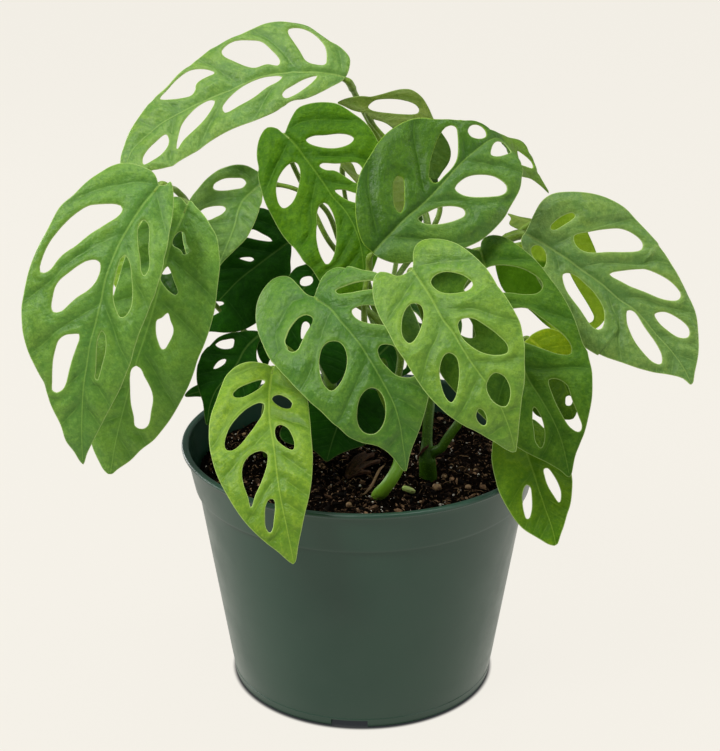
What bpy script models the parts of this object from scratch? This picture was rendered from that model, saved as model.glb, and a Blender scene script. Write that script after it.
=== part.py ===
"""A swiss-cheese plant (Monstera adansonii) in a round plastic nursery pot.

Metres, +Z up. The pot's axis is Z and the face it rests on is z = 0. Every
leaf is one thin curved plate with its real holes, on its own stalk; the
stalks leave five stems that stand in the potting mix.
"""
import math

import bmesh
import bpy
import numpy as np
from mathutils import Vector
from mathutils.geometry import delaunay_2d_cdt

MM = 0.001

# ---------------------------------------------------------------- dimensions, mm
POT_HEIGHT = 116.5
LIP_RADIUS = 82.5          # 165 mm across: a 6.5 inch azalea pot
BAND_BOTTOM = 96.5
BAND_RADIUS = 76.9         # at the foot of the band
WALL_TOP_RADIUS = 75.5
BASE_RADIUS = 60.45
SOIL_TOP = 104.2
LEAF_THICK = 0.9
LEAF_STEP = 6.0
STALK_BACK = 1.6
STALK_UNDER = 0.4
POT_SIDES = 48
DRAINS = 3
DRAIN_START = math.radians(-95.6)
DRAIN_WIDTH, DRAIN_HEIGHT, DRAIN_DEPTH, DRAIN_RADIUS = 16.5, 3.9, 14.0, 57.0

YOUNG = (0.242, 0.456, 0.045)      # leaf colours, newest leaves lightest
LIGHT = (0.110, 0.310, 0.060)
MIDDLE = (0.060, 0.185, 0.036)
DEEP = (0.052, 0.150, 0.030)
SHADED = (0.020, 0.075, 0.014)
BACKLIT = (0.210, 0.340, 0.025)    # pale undersides that turn to the light
TINTS = {
    "leaf_10": YOUNG, "leaf_11": YOUNG,
    "leaf_01": LIGHT, "leaf_02": LIGHT, "leaf_03": LIGHT, "leaf_09": LIGHT, "leaf_07": LIGHT,
    "leaf_04": MIDDLE, "leaf_05": MIDDLE, "leaf_06": MIDDLE, "leaf_12": MIDDLE,
    "leaf_13": DEEP, "leaf_14": DEEP, "leaf_22": DEEP, "leaf_24": DEEP,
    "leaf_08": BACKLIT, "leaf_21": BACKLIT, "leaf_23": BACKLIT, "leaf_26": BACKLIT,
}

POT_PROFILE = [
    (0.0, 0.0), (BASE_RADIUS - 1.0, 0.0), (BASE_RADIUS, 1.0),
    (WALL_TOP_RADIUS, BAND_BOTTOM), (BAND_RADIUS, BAND_BOTTOM + 0.3),
    (80.6, POT_HEIGHT - 2.0), (LIP_RADIUS, POT_HEIGHT - 1.7), (LIP_RADIUS, POT_HEIGHT),
    (79.3, POT_HEIGHT), (75.3, BAND_BOTTOM + 1.3), (74.0, BAND_BOTTOM - 0.6),
    (59.1, 2.6), (58.0, 1.8), (0.0, 1.8)]
SOIL_PROFILE = [
    (0.0, 2.2), (46.0, 2.2), (58.2, 7.5), (73.3, BAND_BOTTOM - 1.0),
    (74.8, BAND_BOTTOM + 1.5), (75.9, SOIL_TOP - 1.6), (60.0, SOIL_TOP - 0.4), (0.0, SOIL_TOP)]

# ---------------------------------------------------------------- drawing view
# The outlines are drawn in one front elevation, seen from an eye point in
# front of and above the pot. A drawing point (u, v) and a depth y give a point.
EYE = np.array((-1.089, -814.61, 470.01))
PITCH = math.radians(21.627)
FOCAL, CU, CV = 1939.74, 360.0, 375.5
FWD = np.array((0.0, math.cos(PITCH), -math.sin(PITCH)))
UPV = np.array((0.0, math.sin(PITCH), math.cos(PITCH)))
RGT = np.array((1.0, 0.0, 0.0))


def sight(u, v):
    return FWD + RGT * ((u - CU) / FOCAL) + UPV * ((CV - v) / FOCAL)


def at(u, v, y):
    """Point on the sight line of drawing point (u, v) at depth y."""
    d = sight(u, v)
    return EYE + d * ((y - EYE[1]) / d[1])


def at_z(u, v, z):
    """Point on the sight line of drawing point (u, v) at height z."""
    d = sight(u, v)
    return EYE + d * ((z - EYE[2]) / d[2])


def draw(p):
    """Drawing point of a point, or of an array of points."""
    q = np.asarray(p, float) - EYE
    w = q @ FWD
    return np.stack((CU + FOCAL * (q @ RGT) / w, CV - FOCAL * (q @ UPV) / w), -1)


def unit(a):
    a = np.asarray(a, float)
    n = np.linalg.norm(a, axis=-1, keepdims=True)
    return a / np.maximum(n, 1e-12)


def curve(pts, n, closed=False, alpha=0.5):
    """n points along a centripetal Catmull-Rom curve, evenly by length."""
    p = np.asarray(pts, float)
    if closed:
        p = np.vstack((p[-1], p, p[0], p[1]))
    else:
        p = np.vstack((2 * p[0] - p[1], p, 2 * p[-1] - p[-2]))
    out = []
    for i in range(len(p) - 3):
        a, b, c, d = p[i:i + 4]
        t0 = 0.0
        t1 = t0 + max(np.linalg.norm(b - a), 1e-9) ** alpha
        t2 = t1 + max(np.linalg.norm(c - b), 1e-9) ** alpha
        t3 = t2 + max(np.linalg.norm(d - c), 1e-9) ** alpha
        t = np.linspace(t1, t2, 13)[:-1, None]
        a1 = (t1 - t) / (t1 - t0) * a + (t - t0) / (t1 - t0) * b
        a2 = (t2 - t) / (t2 - t1) * b + (t - t1) / (t2 - t1) * c
        a3 = (t3 - t) / (t3 - t2) * c + (t - t2) / (t3 - t2) * d
        b1 = (t2 - t) / (t2 - t0) * a1 + (t - t0) / (t2 - t0) * a2
        b2 = (t3 - t) / (t3 - t1) * a2 + (t - t1) / (t3 - t1) * a3
        out.append((t2 - t) / (t2 - t1) * b1 + (t - t1) / (t2 - t1) * b2)
    out = np.vstack(out + [p[-2][None]])
    s = np.r_[0, np.cumsum(np.linalg.norm(np.diff(out, axis=0), axis=1))]
    q = np.linspace(0, s[-1], n + 1 if closed else n)
    if closed:
        q = q[:-1]
    return np.stack([np.interp(q, s, out[:, k]) for k in range(out.shape[1])], -1)


class Blade:
    """The curved middle surface of one leaf: a midrib with a width direction.

    mid   drawing points of the midrib with depths, base first
    roll  degrees at base, middle and tip; positive turns the right side away
    cup   mm that the margins droop 25 mm from the midrib
    fold  mm that the blade rises each side of the midrib, 25 mm out
    """

    def __init__(self, mid, roll=(0, 0, 0), cup=2.0, fold=1.5, side=None, wave=0.0):
        m = np.array([at(*q) for q in mid])
        self.m = curve(m, 61)
        d = np.linalg.norm(np.diff(self.m, axis=0), axis=1)
        self.s = np.r_[0, np.cumsum(d)]
        self.length = self.s[-1]
        t = unit(np.gradient(self.m, self.s, axis=0))
        view = unit(EYE - self.m)
        f = self.s / self.length
        if side is None:
            w0 = unit(np.cross(view, t))
            n0 = np.cross(t, w0)
            r = np.radians(np.interp(f, np.linspace(0, 1, len(roll)), roll))
            k = np.exp(-0.5 * (np.arange(-12, 13) / 5.0) ** 2)
            r = np.convolve(np.pad(r, 12, mode="edge"), k / k.sum(), "valid")
            w = np.cos(r)[:, None] * w0 - np.sin(r)[:, None] * n0
        else:
            g = np.array([q[0] for q in side])
            h = np.array([unit(q[1:]) for q in side])
            w = np.stack([np.interp(f, g, h[:, i]) for i in range(3)], -1)
        k = np.exp(-0.5 * (np.arange(-12, 13) / 5.0) ** 2)
        w = np.stack([np.convolve(np.pad(w[:, i], 12, mode="edge"), k / k.sum(), "valid") for i in range(3)], -1)
        w = unit(w - (w * t).sum(-1)[:, None] * t)
        self.t, self.w = t, w
        self.n = unit(np.cross(t, w))
        self.cup, self.fold, self.wave = cup, fold, wave

    def frame(self, s):
        s = np.asarray(s, float)
        c = np.clip(s, 0, self.length)
        m, t, w, n = (np.stack([np.interp(c, self.s, a[:, i]) for i in range(3)], -1)
                      for a in (self.m, self.t, self.w, self.n))
        w, n, t = unit(w), unit(n), unit(t)
        return m + (s - c)[..., None] * t, w, n, t

    def rise(self, s, t):
        a = np.abs(t) / 25.0
        f = np.clip(s / self.length, -0.3, 1.2)
        soft = np.sqrt(a * a + 0.01) - 0.1
        taper = np.clip(1.15 - 0.75 * f, 0.2, 1.3)
        z = self.fold * soft * taper - self.cup * a * a
        if self.wave:
            z = z + self.wave * a * np.sin(f * 9.0 + 1.3 * np.sign(t))
        return z

    def point(self, s, t, lift=0.0):
        s, t = np.asarray(s, float), np.asarray(t, float)
        m, w, n, _ = self.frame(s)
        return m + w * t[..., None] + n * (self.rise(s, t) + lift)[..., None]

    def find(self, uv, lo=0.0, hi=1.0):
        """Blade coordinates (s, t) of drawing points, by Newton steps.

        lo and hi keep the start on one side of a fold in the blade.
        """
        uv = np.asarray(uv, float)
        mid = draw(self.m)
        f = self.s / self.length
        d = uv[:, None] - mid[None]
        far = np.where((f < lo) | (f > (hi - 0.08 if hi < 1 else 1)), 1e9, 0.0)
        i = np.argmin((d ** 2).sum(-1) + far, axis=1)
        s = self.s[i].copy()
        wd = draw(self.m + self.w) - mid
        t = (d[np.arange(len(uv)), i] * wd[i]).sum(-1) / np.maximum((wd[i] ** 2).sum(-1), 1e-6)
        t = np.clip(t, -60, 60)
        for _ in range(40):
            p = draw(self.point(s, t))
            e = uv - p
            ps = (draw(self.point(s + 0.1, t)) - p) / 0.1
            pt = (draw(self.point(s, t + 0.1)) - p) / 0.1
            det = ps[:, 0] * pt[:, 1] - ps[:, 1] * pt[:, 0]
            det = np.where(np.abs(det) < 0.05, 0.05 * np.where(det < 0, -1, 1), det)
            ds = (e[:, 0] * pt[:, 1] - e[:, 1] * pt[:, 0]) / det
            dt = (ps[:, 0] * e[:, 1] - ps[:, 1] * e[:, 0]) / det
            k = 0.7 / np.maximum(1.0, np.hypot(ds, dt) / 12.0)
            s, t = s + ds * k, t + dt * k
            if lo > 0 or hi < 1:
                s = np.clip(s, (lo - (9 if lo <= 0 else 0)) * self.length, min(hi + 0.06, 1.0) * self.length)
        return np.stack((s, t), -1)


def trace(blade, pts, crease):
    """Blade coordinates of drawn points. A third value of 1 marks those past
    the crease, and 2 those that are blade coordinates already."""
    kind = np.array([p[2] if len(p) > 2 else 0 for p in pts])
    uv = np.array([p[:2] for p in pts], float)
    out = uv.copy()
    front, back = kind == 0, kind == 1
    if front.any():
        out[front] = blade.find(uv[front], 0.0, crease)
    if back.any():
        out[back] = blade.find(uv[back], crease, 1.0)
    return out


def plain_leaf(length, half):
    """Outline and holes (s, t) of a leaf that the drawing doesn't show."""
    a = [(0, 0), (-0.07, 0.30), (-0.06, 0.62), (0.04, 0.88), (0.18, 1.0), (0.34, 0.98), (0.50, 0.84),
         (0.65, 0.62), (0.79, 0.38), (0.90, 0.16), (0.96, 0.06)]
    right = [(length * p, half * q) for p, q in a]
    left = [(p, -q) for p, q in right[:0:-1]]
    holes = []
    for side in (-1, 1):
        for p, q, w in ((0.12, 0.50, 0.055), (0.32, 0.50, 0.06), (0.52, 0.40, 0.05)):
            c = []
            for k in range(10):
                x = math.cos(k * math.pi / 5)
                y = math.sin(k * math.pi / 5)
                c.append((length * (p + 0.10 * x + w * y * 0.8), side * half * (q + 0.28 * x)))
            holes.append(c)
    return right + [(length, 0.0)] + left, holes


def leaf_plan(spec):
    """The blade, outline (s, t) and holes (s, t) of one leaf."""
    blade = Blade(spec["mid"], spec.get("roll", (0, 0, 0)), spec["cup"], spec["fold"],
                  spec.get("side"), spec.get("wave", 0.0))
    if "half" in spec:
        edge, holes = plain_leaf(blade.length, spec["half"])
        return blade, np.array(edge), [np.array(h) for h in holes]
    crease = spec.get("crease", 1.0)
    return (blade, trace(blade, spec["edge"], crease),
            [trace(blade, h, crease) for h in spec["holes"]])


# Each leaf: midrib (u, v, depth), roll, cup, fold, outline and holes in the
# drawing view. Where a leaf passes behind another its outline is completed.
LEAVES = {
"leaf_01": dict(mid=[(346,77,58),(327,73,56),(293,72,52),(260,77,47),(228,91,41),(193,106,34),(160,125,25),(133,150,15),(123,176,8)],
  roll=(-38,-36,-28), cup=1.5, fold=2.5,
  edge=[(346,77),(349.5,67),(349.5,57.5),(342.5,49),(332,42),(318,34),(308,27),(293,22.7),(277,22),(265,24),(250,30),(230,37.5),(210,48),(193,62),(180,73),(167,86),(151,100),(141,113),(130,131),(124,147),(120.3,162),(122.5,179),(129,178),(140,175),(152,170.5),(160,169.7),(170,167.5),(182,160),(197,151),(210,141),(227,132),(243,125),(260,117.5),(277,110),(292,102),(310,97),(327,89),(340,82.5)],
  holes=[[(289,29.7),(300,29),(312,34),(320,41),(325,48),(326.5,58),(325,64.7),(313,64),(306,61),(300,52.5),(293,42.5),(288,34)],
   [(221.7,50),(232.5,41),(250,40.5),(261,42.5),(270,50),(279.7,61),(278,66),(267,64.7),(255,68),(247,66.7),(233,61),(224,56)],
   [(160,98),(168,88),(180,77),(190,71),(203,70),(215,73.5),(208,77.5),(201,81),(196,85),(195,91),(191,96),(183,98),(172,99)],
   [(317,76),(312.5,82),(303,90),(293,97),(285,99.7),(282,97),(284,92.5),(293,86),(305,79)],
   [(282,77),(278,82),(268,87),(255,96),(240,105),(225,113),(222.5,108),(225,103),(233,94),(243,86),(257,79),(270,76)],
   [(214.7,101),(210,112),(202,123),(192,133),(183,142),(177,151),(177,145),(179,135),(182,125),(190,114),(200,105),(210,100)],
   [(166,134.7),(169,141),(167.5,148),(160,157),(150,163),(144,165),(143,160),(146,153),(155,143)]]),
"leaf_02": dict(mid=[(159.5,184,-38),(151,195,-42),(143,205,-46),(134,218,-50),(128,228,-53),(120,242,-56),(113,258,-60),(106,277,-63),(101,300,-66),(95,325,-69),(90,344,-71),(87,363,-72),(84,382,-73),(82,410,-73),(82,440,-72),(83,464.6,-70)],
  roll=(-14,-14,-12), cup=2.5, fold=3.0,
  edge=[(159.5,184.5),(167,184.5),(169.7,180.5),(172,184),(173.8,197.5),(173.4,209),(171.6,222.5),(168.7,237),(165.3,254.7),(160,277),(154.3,296),(151,303),(145.5,318),(139.7,332),(134.5,348),(131,362),(126.5,373),(120,389.5),(110,408.5),(101.5,425),(92.7,442),(87,454),(83.2,464.6),(79.5,460.6),(73.7,451),(66,441),(60.5,425),(51.7,408.5),(47.3,398),(43.6,384),(37,370),(29.7,354),(25.3,340),(22.6,325),(21.9,309),(23.8,296),(26.7,281),(30.4,266.5),(37,250),(44.3,236),(51.7,222.5),(59,209),(68,200),(78,191),(88,181),(100,172),(110,165.6),(120.6,162.6),(131,163),(142.6,167),(151.4,171),(155.8,176)],
  holes=[[(120.6,205.6),(122.5,210),(118,216),(109,222),(100,228),(91,233.5),(82.5,240),(74,247),(65,253),(57.5,260.6),(51.7,269),(44,273),(40,271),(41.4,263.5),(45,253),(52,240),(60.5,229),(69,220),(79.5,211.5),(90,206),(103,204.6),(115,204)],
   [(100,263),(100,271),(96,281),(88,290),(78,296.5),(69,304.6),(62,311),(54,312),(52,307.5),(53.4,297),(56,287),(60.5,280),(69,273),(78,266),(87,261),(96,260)],
   [(79,334),(79.5,338),(76,348),(72,359),(69,370),(65.6,384),(62,390),(56,393),(52,391),(52,382),(52.4,370),(53.4,359),(56,348),(59,340),(65.6,335),(74,334)],
   [(144,220),(148,224),(149,237),(149,255),(148,271),(144,276),(141.4,271),(140.4,258),(138,241.5),(138,230),(139.7,222.5)],
   [(125,255.5),(128.7,260.6),(131,269),(132,283),(132,299),(130.5,308),(124,317),(120,317),(116,309),(113.6,300),(113,290),(114.7,280),(117.7,268),(121,259)],
   [(102,331),(105,335),(106,342.5),(105,353),(102,364.5),(99,376),(97.4,380.4),(95.4,379),(96,370),(96.4,359),(97,347),(98.6,337)]]),
"leaf_03": dict(mid=[(187,205,-14),(181,220,-18),(172,240,-22),(164,268,-27),(157,295,-31),(147,330,-35),(137,360,-38),(126,400,-40),(116,440,-41),(110.3,474.8,-40)],
  roll=(-10,-10,-8), cup=2.5, fold=2.5,
  edge=[(187,204),(189.5,199),(195.4,206),(204,215),(211.5,227),(217,237),(219,249),(220.3,261),(219,277),(217,291),(214.5,309),(209,331),(204,345.5),(198,359),(194,372),(189,385),(181,401),(170.5,419),(162,430.5),(153,441),(141,450),(131,460),(118,469),(110.3,474.8),(104.5,471),(98.6,461),(92,446.7),(88,430),(86,405),(89,375),(96,343),(106,317),(117,285),(126,255),(138,228),(153,208),(168,197.5),(180,197)],
  holes=[[(180,231.6),(184,233),(186,243),(189.5,251),(184,254.7),(180.7,250),(172.7,244.5),(174,237)],
   [(167.5,266.5),(170.5,271),(174,281),(178,293),(175.6,295),(169,291),(163,284),(160.6,280),(161.7,274)],
   [(168,313),(170.5,320.5),(173.4,328),(173,334),(169,342.5),(164.6,349),(161.7,349),(158.7,342.5),(156.5,335),(156,326),(157,320),(161.7,318)],
   [(136,366),(141,369),(144,376),(149,385),(152,392),(153,400),(151,411.5),(149,423),(145.5,428),(140,429),(135,426),(134,417),(131,403),(130,388),(130,376),(131.6,369)]]),
"leaf_04": dict(mid=[(258.5,186,36),(250,193,33),(243,200,30),(239,208,27),(235.5,222,23),(229,240,17),(219,264,10),(205,292,4)],
  roll=(-16,-12,-8), cup=2.0, fold=3.5,
  edge=[(260,186),(263,180),(262.5,175),(257.5,171.5),(254,169.5),(248,166.5),(240,165),(230,166),(220,169),(212,174),(205,180),(200,186),(195,192),(190.3,198.5),(185,208),(182,220),(182,234),(185,250),(191,266),(198,281),(205,292),(212,281),(221,264.5),(233,252),(240,245),(246.5,238),(251,230),(255,222),(258.5,213),(261,205),(262.5,197),(262,190)],
  holes=[[(214,184),(220,180),(233,178),(243,179),(246,183),(242,188),(230,190),(217,190),(213,187.5)],
   [(198,213),(203,209),(210,206.5),(218,205.6),(224,206.5),(226,209),(223,213),(216,217),(210,220),(203,221),(197,218)]]),
"leaf_05": dict(mid=[(283.5,133,18),(293,142,15),(303,155,12),(313,168,8),(323,182,4),(333,197,0),(343.6,208.6,-4),(352,222,-8),(359,240,-13),(363,262,-18),(362,291,-23)],
  roll=(8,8,6), cup=2.5, fold=2.5,
  edge=[(284,133.5),(287.5,126),(291.7,117),(298,108),(310,103.5),(325,102.5),(340,105),(354.5,114.5),(369,127),(379,143.5),(385,160),(388,180),(388,200),(386,220),(382,242),(375,265),(368,281),(362,291),(356,296),(347,297),(338,296),(328,291),(318.6,280),(304,262),(290,244),(276,224),(266,205),(262,193),(258,177),(257,160),(258,143),(262,133),(267,127.5),(273,127),(278,128.5)],
  holes=[[(306,140),(313,136),(325,135),(340,134),(350,136),(354,139),(350,144),(338,147.5),(325,147.5),(313,145),(308,142.5)],
   [(319.5,166),(321,163.5),(327,163),(335,163.5),(347,163),(357,163),(362,168),(362,180),(358,183.5),(350,180),(342,174.5),(334,170.5),(326,170)],
   [(335,190.5),(343,190),(352,192.5),(360,196),(362,201),(357,203),(348,200.5),(340,195.5)],
   [(292,162.5),(296,162.5),(299.5,168),(300,178),(298.5,187),(295,198),(290,205),(284,208.3),(279.5,205),(277,197),(276.5,188),(279,178),(285,168)],
   [(319,207),(323,203),(327,204),(331,210),(335,221),(336.4,235),(335,250),(331.5,260),(327,264.5),(322,258),(318,247),(316.4,234),(317,219)]]),
"leaf_06": dict(mid=[(373,253,-36),(388.5,236,-32),(405,219,-27),(425,202,-21),(444,182,-15),(461,163,-9),(478,148.5,-3),(490,140,3),(499,138.5,9),(509,148,15),(520,164,19),(534,180,22),(549.7,194,24)],
  side=[(0,-0.7,0.22,0.68),(0.6,-0.7,0.22,0.68),(0.71,-0.76,0.3,0.58),(0.78,-0.4,0.6,0.66),(0.85,0.2,0.6,0.75),(1,0.5,0.5,0.7)], cup=1.5, fold=2.5,
  edge=[(371,251),(364,245),(358,231),(355,209),(357,185),(364,165),(374,148.5),(388.5,131.5),(405,121.5),(422,117.5),(434.5,118.5),(449,118.4),(471,121),(482,125),(493,131),(505,136.3,1),(519,140,1),(529,151,1),(534,163,1),(541,177.6,1),(549.7,194,1),(541,186,1),(531.5,179,1),(520.6,175.6,1),(99.5,-7,2),(94,-11,2),(520.6,165),(520.6,180),(516,197),(507,214),(495,228.5),(480.6,240.6),(465,248),(450,254),(430,260),(413,262),(398,263.6),(384,260),(376,256)],
  crease=0.70,
  holes=[[(398,176),(402.5,177.6),(404,192),(403.5,207),(400,213),(395,208),(393,194.5),(394,181)],
   [(446,127),(452,125),(456,127),(457.5,134),(457.5,156),(454,165),(444,176),(436,183),(430,180),(430,165),(434.5,148.5),(440,135)],
   [(467.5,132),(470,126.5),(477,125.5),(484,130),(486,136),(480.6,139),(471,137)],
   [(491,155),(492,147),(496,142),(501,142),(86,-3.6,2),(87,-6.5,2),(83,-8.8,2),(499,156.5)],
   [(455,188.5),(463.6,179),(480.6,175),(495,177.6),(506,187),(505,193),(490,197),(473,197),(461,194)],
   [(418,219),(425,214),(437,208),(451.5,206),(463.6,209),(465,215),(456,220),(442,223.6),(425,223.6)],
   [(517,151,1),(525,156,1),(532,163,1),(533,168,1),(526,166.5,1),(520,163,1)]]),
"leaf_08": dict(mid=[(366,112.5,62),(376,117,63),(390,124,63),(408,136,62),(425,153,60),(436,180,56)],
  roll=(-30,-30,-25), cup=-2.0, fold=0.5,
  edge=[(366,112.5),(360,112),(352,110),(344,106),(337,102.5),(346,98.5),(355,96.5),(364,96),(372,96.5),(380,94.5),(388.5,92),(397,90),(405,89),(411,89.5),(417,92.5),(423,98),(428,106),(432,115),(437,125),(442,133),(448,142),(451,152),(449,162),(443,171),(436,180),(428,176),(418,166),(408,150),(400,136),(391,126.5),(385,122.5),(379,120.5),(372,118.5)],
  holes=[[(368,107),(371,103),(376,100),(384,99),(393,99),(402,100),(410,102),(416,105),(419,109),(418,113),(412,114.5),(398,114),(388,113),(379,112),(371,110)]]),
"leaf_09": dict(mid=[(313.5,295.5,-46),(318,300,-49),(330,308,-54),(340,320.5,-59),(352,334,-63),(362.5,348,-67),(373,365,-71),(383,382.5,-74),(393.5,403,-77),(400,425,-79),(403,445,-79),(405,458,-78),(405.4,472.2,-76)],
  roll=(6,6,4), cup=2.0, fold=3.0,
  edge=[(313.5,296),(306.6,294),(299,286),(290,277.5),(283,276),(273,279),(263,289.5),(257.5,301.5),(256,315),(258,331),(263,345),(272,362),(284,375),(296,388),(308,400),(320,410.5),(331.5,422),(343,432),(354,440),(363,443.5),(376,445.6),(386,451),(394,459),(400,467),(405.4,472.2),(409.7,455.5),(417,436),(423,419),(427,404),(429.5,388),(430,370),(427,350),(421,330),(413,310),(403,293),(390,280),(376,272.5),(362.5,270),(350.5,267),(338,267),(328,271),(321,279),(317.5,288)],
  holes=[[(336,291),(344,287),(356,283),(372,281),(382,282),(385,285),(380,288.5),(373,289),(362.5,290.5),(349,293),(338,294)],
   [(352,310),(359,306),(370,305),(380,307),(386,313),(388,320),(386,325),(380,324.5),(368,323),(360,320.5),(354,316)],
   [(312.6,318),(307,315),(300.5,317),(292,326),(287,336),(286,345),(17,-24.25,2),(297,350),(302,341),(307,331),(312.6,322)],
   [(328,342),(338,341.5),(344.5,348),(347,362),(344.5,374),(338,386),(331.5,391),(325,386),(320,372),(319.5,358),(322,348)],
   [(378,350),(380.6,345.5),(388,344.6),(395,347),(404,354),(412,366),(415,375),(409,377.5),(397,375.5),(387,367),(380,358)],
   [(371,388),(378,390),(383,397),(385.4,408),(384,421),(379,430),(373,434),(365,433),(359,426),(357,414.5),(358.6,402),(364,392)]]),
"leaf_10": dict(mid=[(412,269,-62),(423,285,-69),(432.7,300.5,-75),(442,318,-81),(452,331,-85),(461,346,-89),(471,362,-92),(482,377,-95),(494,394,-97),(503.5,413,-98),(511,434,-98),(515.3,452.6,-96)],
  roll=(6,5,2), cup=2.5, fold=3.0,
  edge=[(411,270),(398,276.6),(389,273),(379,272),(374,277.6),(372.4,289),(374,302),(381,320),(390.6,337),(400,354),(413.6,375),(427,394),(442,409.6),(459.5,423),(477,432.5),(494,442),(508,450.5),(515.3,452.6),(517,444),(519,425),(521.7,400),(525,371),(524.5,342.6),(520.7,323.5),(513,308),(503.5,293),(492,276),(478.6,260),(465,249),(452,242),(436.5,238.7),(423,240),(415.5,246),(413,254.6),(413.2,263)],
  holes=[[(431,282),(434.6,276),(444,272),(456,273),(467,277.6),(473,284),(469,290),(457.6,293),(444,293),(435.6,289)],
   [(411.7,304),(420,305),(423.5,314),(422,325),(416,339),(409.7,344),(404,339),(402,325),(405,312)],
   [(458,325),(461,320),(473,319),(484,325),(498,335),(507,344.5),(507.7,352),(498,355),(484,353),(471,346),(462,337)],
   [(449,353),(456,357),(459,369),(458,385),(455,398),(451,402.5),(445,396),(441,383),(440,367.5),(444,356)],
   [(495,373),(503.5,376),(509,385),(510,396),(506,406),(500.6,406),(492,400),(487,390),(486.6,385),(490,377)],
   [(478.6,408.6),(483,410.5),(486.6,419),(485,425.5),(480.5,424),(476,416)]]),
"leaf_11": dict(mid=[(273.5,365.5,-48),(271,378,-53),(269.6,391,-60),(269,405,-67),(269.6,419,-73),(271.7,434,-79),(274,448,-84),(277,474,-91),(280.4,497,-96),(287,529,-101),(294,564.4,-103)],
  roll=(0,0,0), cup=2.5, fold=3.0,
  edge=[(273.5,366.5),(266,364),(250,361.6),(237,365),(226,375),(221.5,386),(216,402),(211,416),(209,430),(210,450),(215,470),(223,488),(234,507),(247,524.5),(263,540.5),(279,553),(288,561),(294,564.4),(299,542),(304,518),(309,497),(312,477),(312.7,458),(311.5,438),(310,419),(308,402),(304,387),(297,375),(288,366),(280,362.5),(276,363.5)],
  holes=[[(233,395),(239,388),(250,383),(261,380),(265,381),(261,387),(252,393),(241,398),(234,398)],
   [(264,404),(263,413),(256.5,424),(248.6,435),(239,446),(231,451),(225.4,449),(225,440),(229,429),(239,416),(250,406.5),(260,402.5)],
   [(267,454),(267.4,462),(264.5,473.5),(260,485),(255,496),(251,508),(248,497),(244,486),(242,473.5),(244.6,462),(252,454),(261,451)],
   [(274,500),(275,507),(274,518),(272.5,529),(270,533),(266,528),(265,516.5),(266,505),(270,499)],
   [(274,396),(280,394.6),(288,398),(292,402.5),(290,408),(283.6,408),(276,404),(272,399)],
   [(280,425),(287,428),(291.6,435),(294.5,445),(293,450),(285,447),(277,440),(275,434),(276,427)]]),
"leaf_12": dict(mid=[(526.6,234,8),(546,245,6),(565,257.5,4),(585,272,2),(602,284,0),(619,299,-2),(636,311,-4),(655,333,-8),(672,352,-12),(684,369,-16),(692,385.5,-20)],
  roll=(22,22,20), cup=3.0, fold=3.5,
  edge=[(525.5,232),(531.5,219),(541,202),(551,194.5),(568,191.6),(590,193),(609,199),(626,209),(643,226),(660,248),(674.5,270),(686.6,291.5),(695,311),(698.7,330),(698.7,350),(695,371),(692,385.5),(684,379),(672,375),(650,371),(626,364),(604,356),(585,347),(572,337),(560,322),(549,303),(539,283),(529,262),(522.5,246),(521,238)],
  holes=[[(551,226),(558,219),(566,214.5),(573,213),(575,216),(570,221),(563,225.5),(554.5,230),(550.5,229)],
   [(574,236),(588,232.5),(602,230),(619,228.5),(633,233),(643,242),(642,249),(626,251.5),(607,252),(588,252.5),(579,249),(574,242)],
   [(609.5,274.5),(621,271),(638,269),(655,272.6),(672,283),(680.5,294),(678,300),(662,299),(643,291.5),(623.6,283)],
   [(654.6,314.5),(665,312),(679,319),(689,329),(688,337),(679,337.5),(666,329),(657.5,320.6)],
   [(563,274.5),(568,273),(576,276),(586,285),(596,296),(603,309),(604,321),(601,329),(594.5,328.6),(585,318),(573,301),(565,287)],
   [(627,311),(633,311),(643,325),(655,342),(662,357),(661,364),(653,362),(640.5,350),(631,335),(626.5,321)],
   [(531.5,248),(536,245),(542,247),(546,254),(546,263),(543.5,267.5),(538,262),(532,254)]]),
"leaf_13": dict(mid=[(480,249,-14),(492,285,-27),(505,318,-37),(516,348,-45),(528,378,-52),(541,399,-58),(553,420,-63),(562,442,-67),(569.5,476,-70)],
  roll=(8,8,6), cup=2.5, fold=3.0,
  edge=[(479,250),(465,248),(450,250),(437,258),(429,271),(426,288),(427,308),(429,328),(433,350),(441,374),(457,394),(477,411.5),(500,434),(517,447),(532,455.5),(547.5,463),(561,471),(569.5,478),(576,454),(584,434),(590,410),(592.5,390),(592,371),(588,352),(583,343),(574,318),(565,299),(553,281),(538,262),(517,245),(503.5,237),(490,235.5),(482,240)],
  holes=[[(464,289.5),(466,283),(474,274),(485,268),(497,265.5),(513,267),(528,272),(540,279.5),(543,286),(538,292.5),(524.5,294),(509,292.5),(495,293),(478,294),(468,293)],
   [(507,311),(516,308),(528,308.3),(540,317),(553,327),(565,337),(571,346),(570.5,354),(559,354),(546,350),(532,345),(520,340),(511,330),(506,320)],
   [(549,380),(555,378.6),(566.6,385),(572,400),(578,415),(582,427),(579,432),(570,427),(561,413),(553,396)],
   [(534,407),(540,415),(544,427),(544,442),(541,448),(536,442),(534,429),(532.5,417)],
   [(450,318),(458,314),(466,316),(471,322),(474,330),(475,337),(470,338),(463,336),(455,330),(450,324)]]),
"leaf_14": dict(mid=[(519,431,-34),(524,444,-40),(528,457,-46),(534,474,-53),(541,496,-63),(547.5,515,-69),(552,528,-73),(556,545.4,-77)],
  roll=(8,8,6), cup=2.5, fold=2.5,
  edge=[(519,431),(513,424.5),(503,425),(496,432),(492.5,443),(491.5,455),(494,474),(499,492),(509,510.6),(517.6,523),(529,533),(542.5,541),(550,545),(556.6,545.4),(561,534),(566,519),(571,502),(572.5,486),(571.5,473),(566,457),(556,441),(544,428),(533,419),(525,419.5),(520.5,424)],
  holes=[[(526.7,485),(530,487),(531.7,497),(531.7,509),(529,518.5),(526.7,519),(524,512),(522.6,502),(523,492)],
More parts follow.
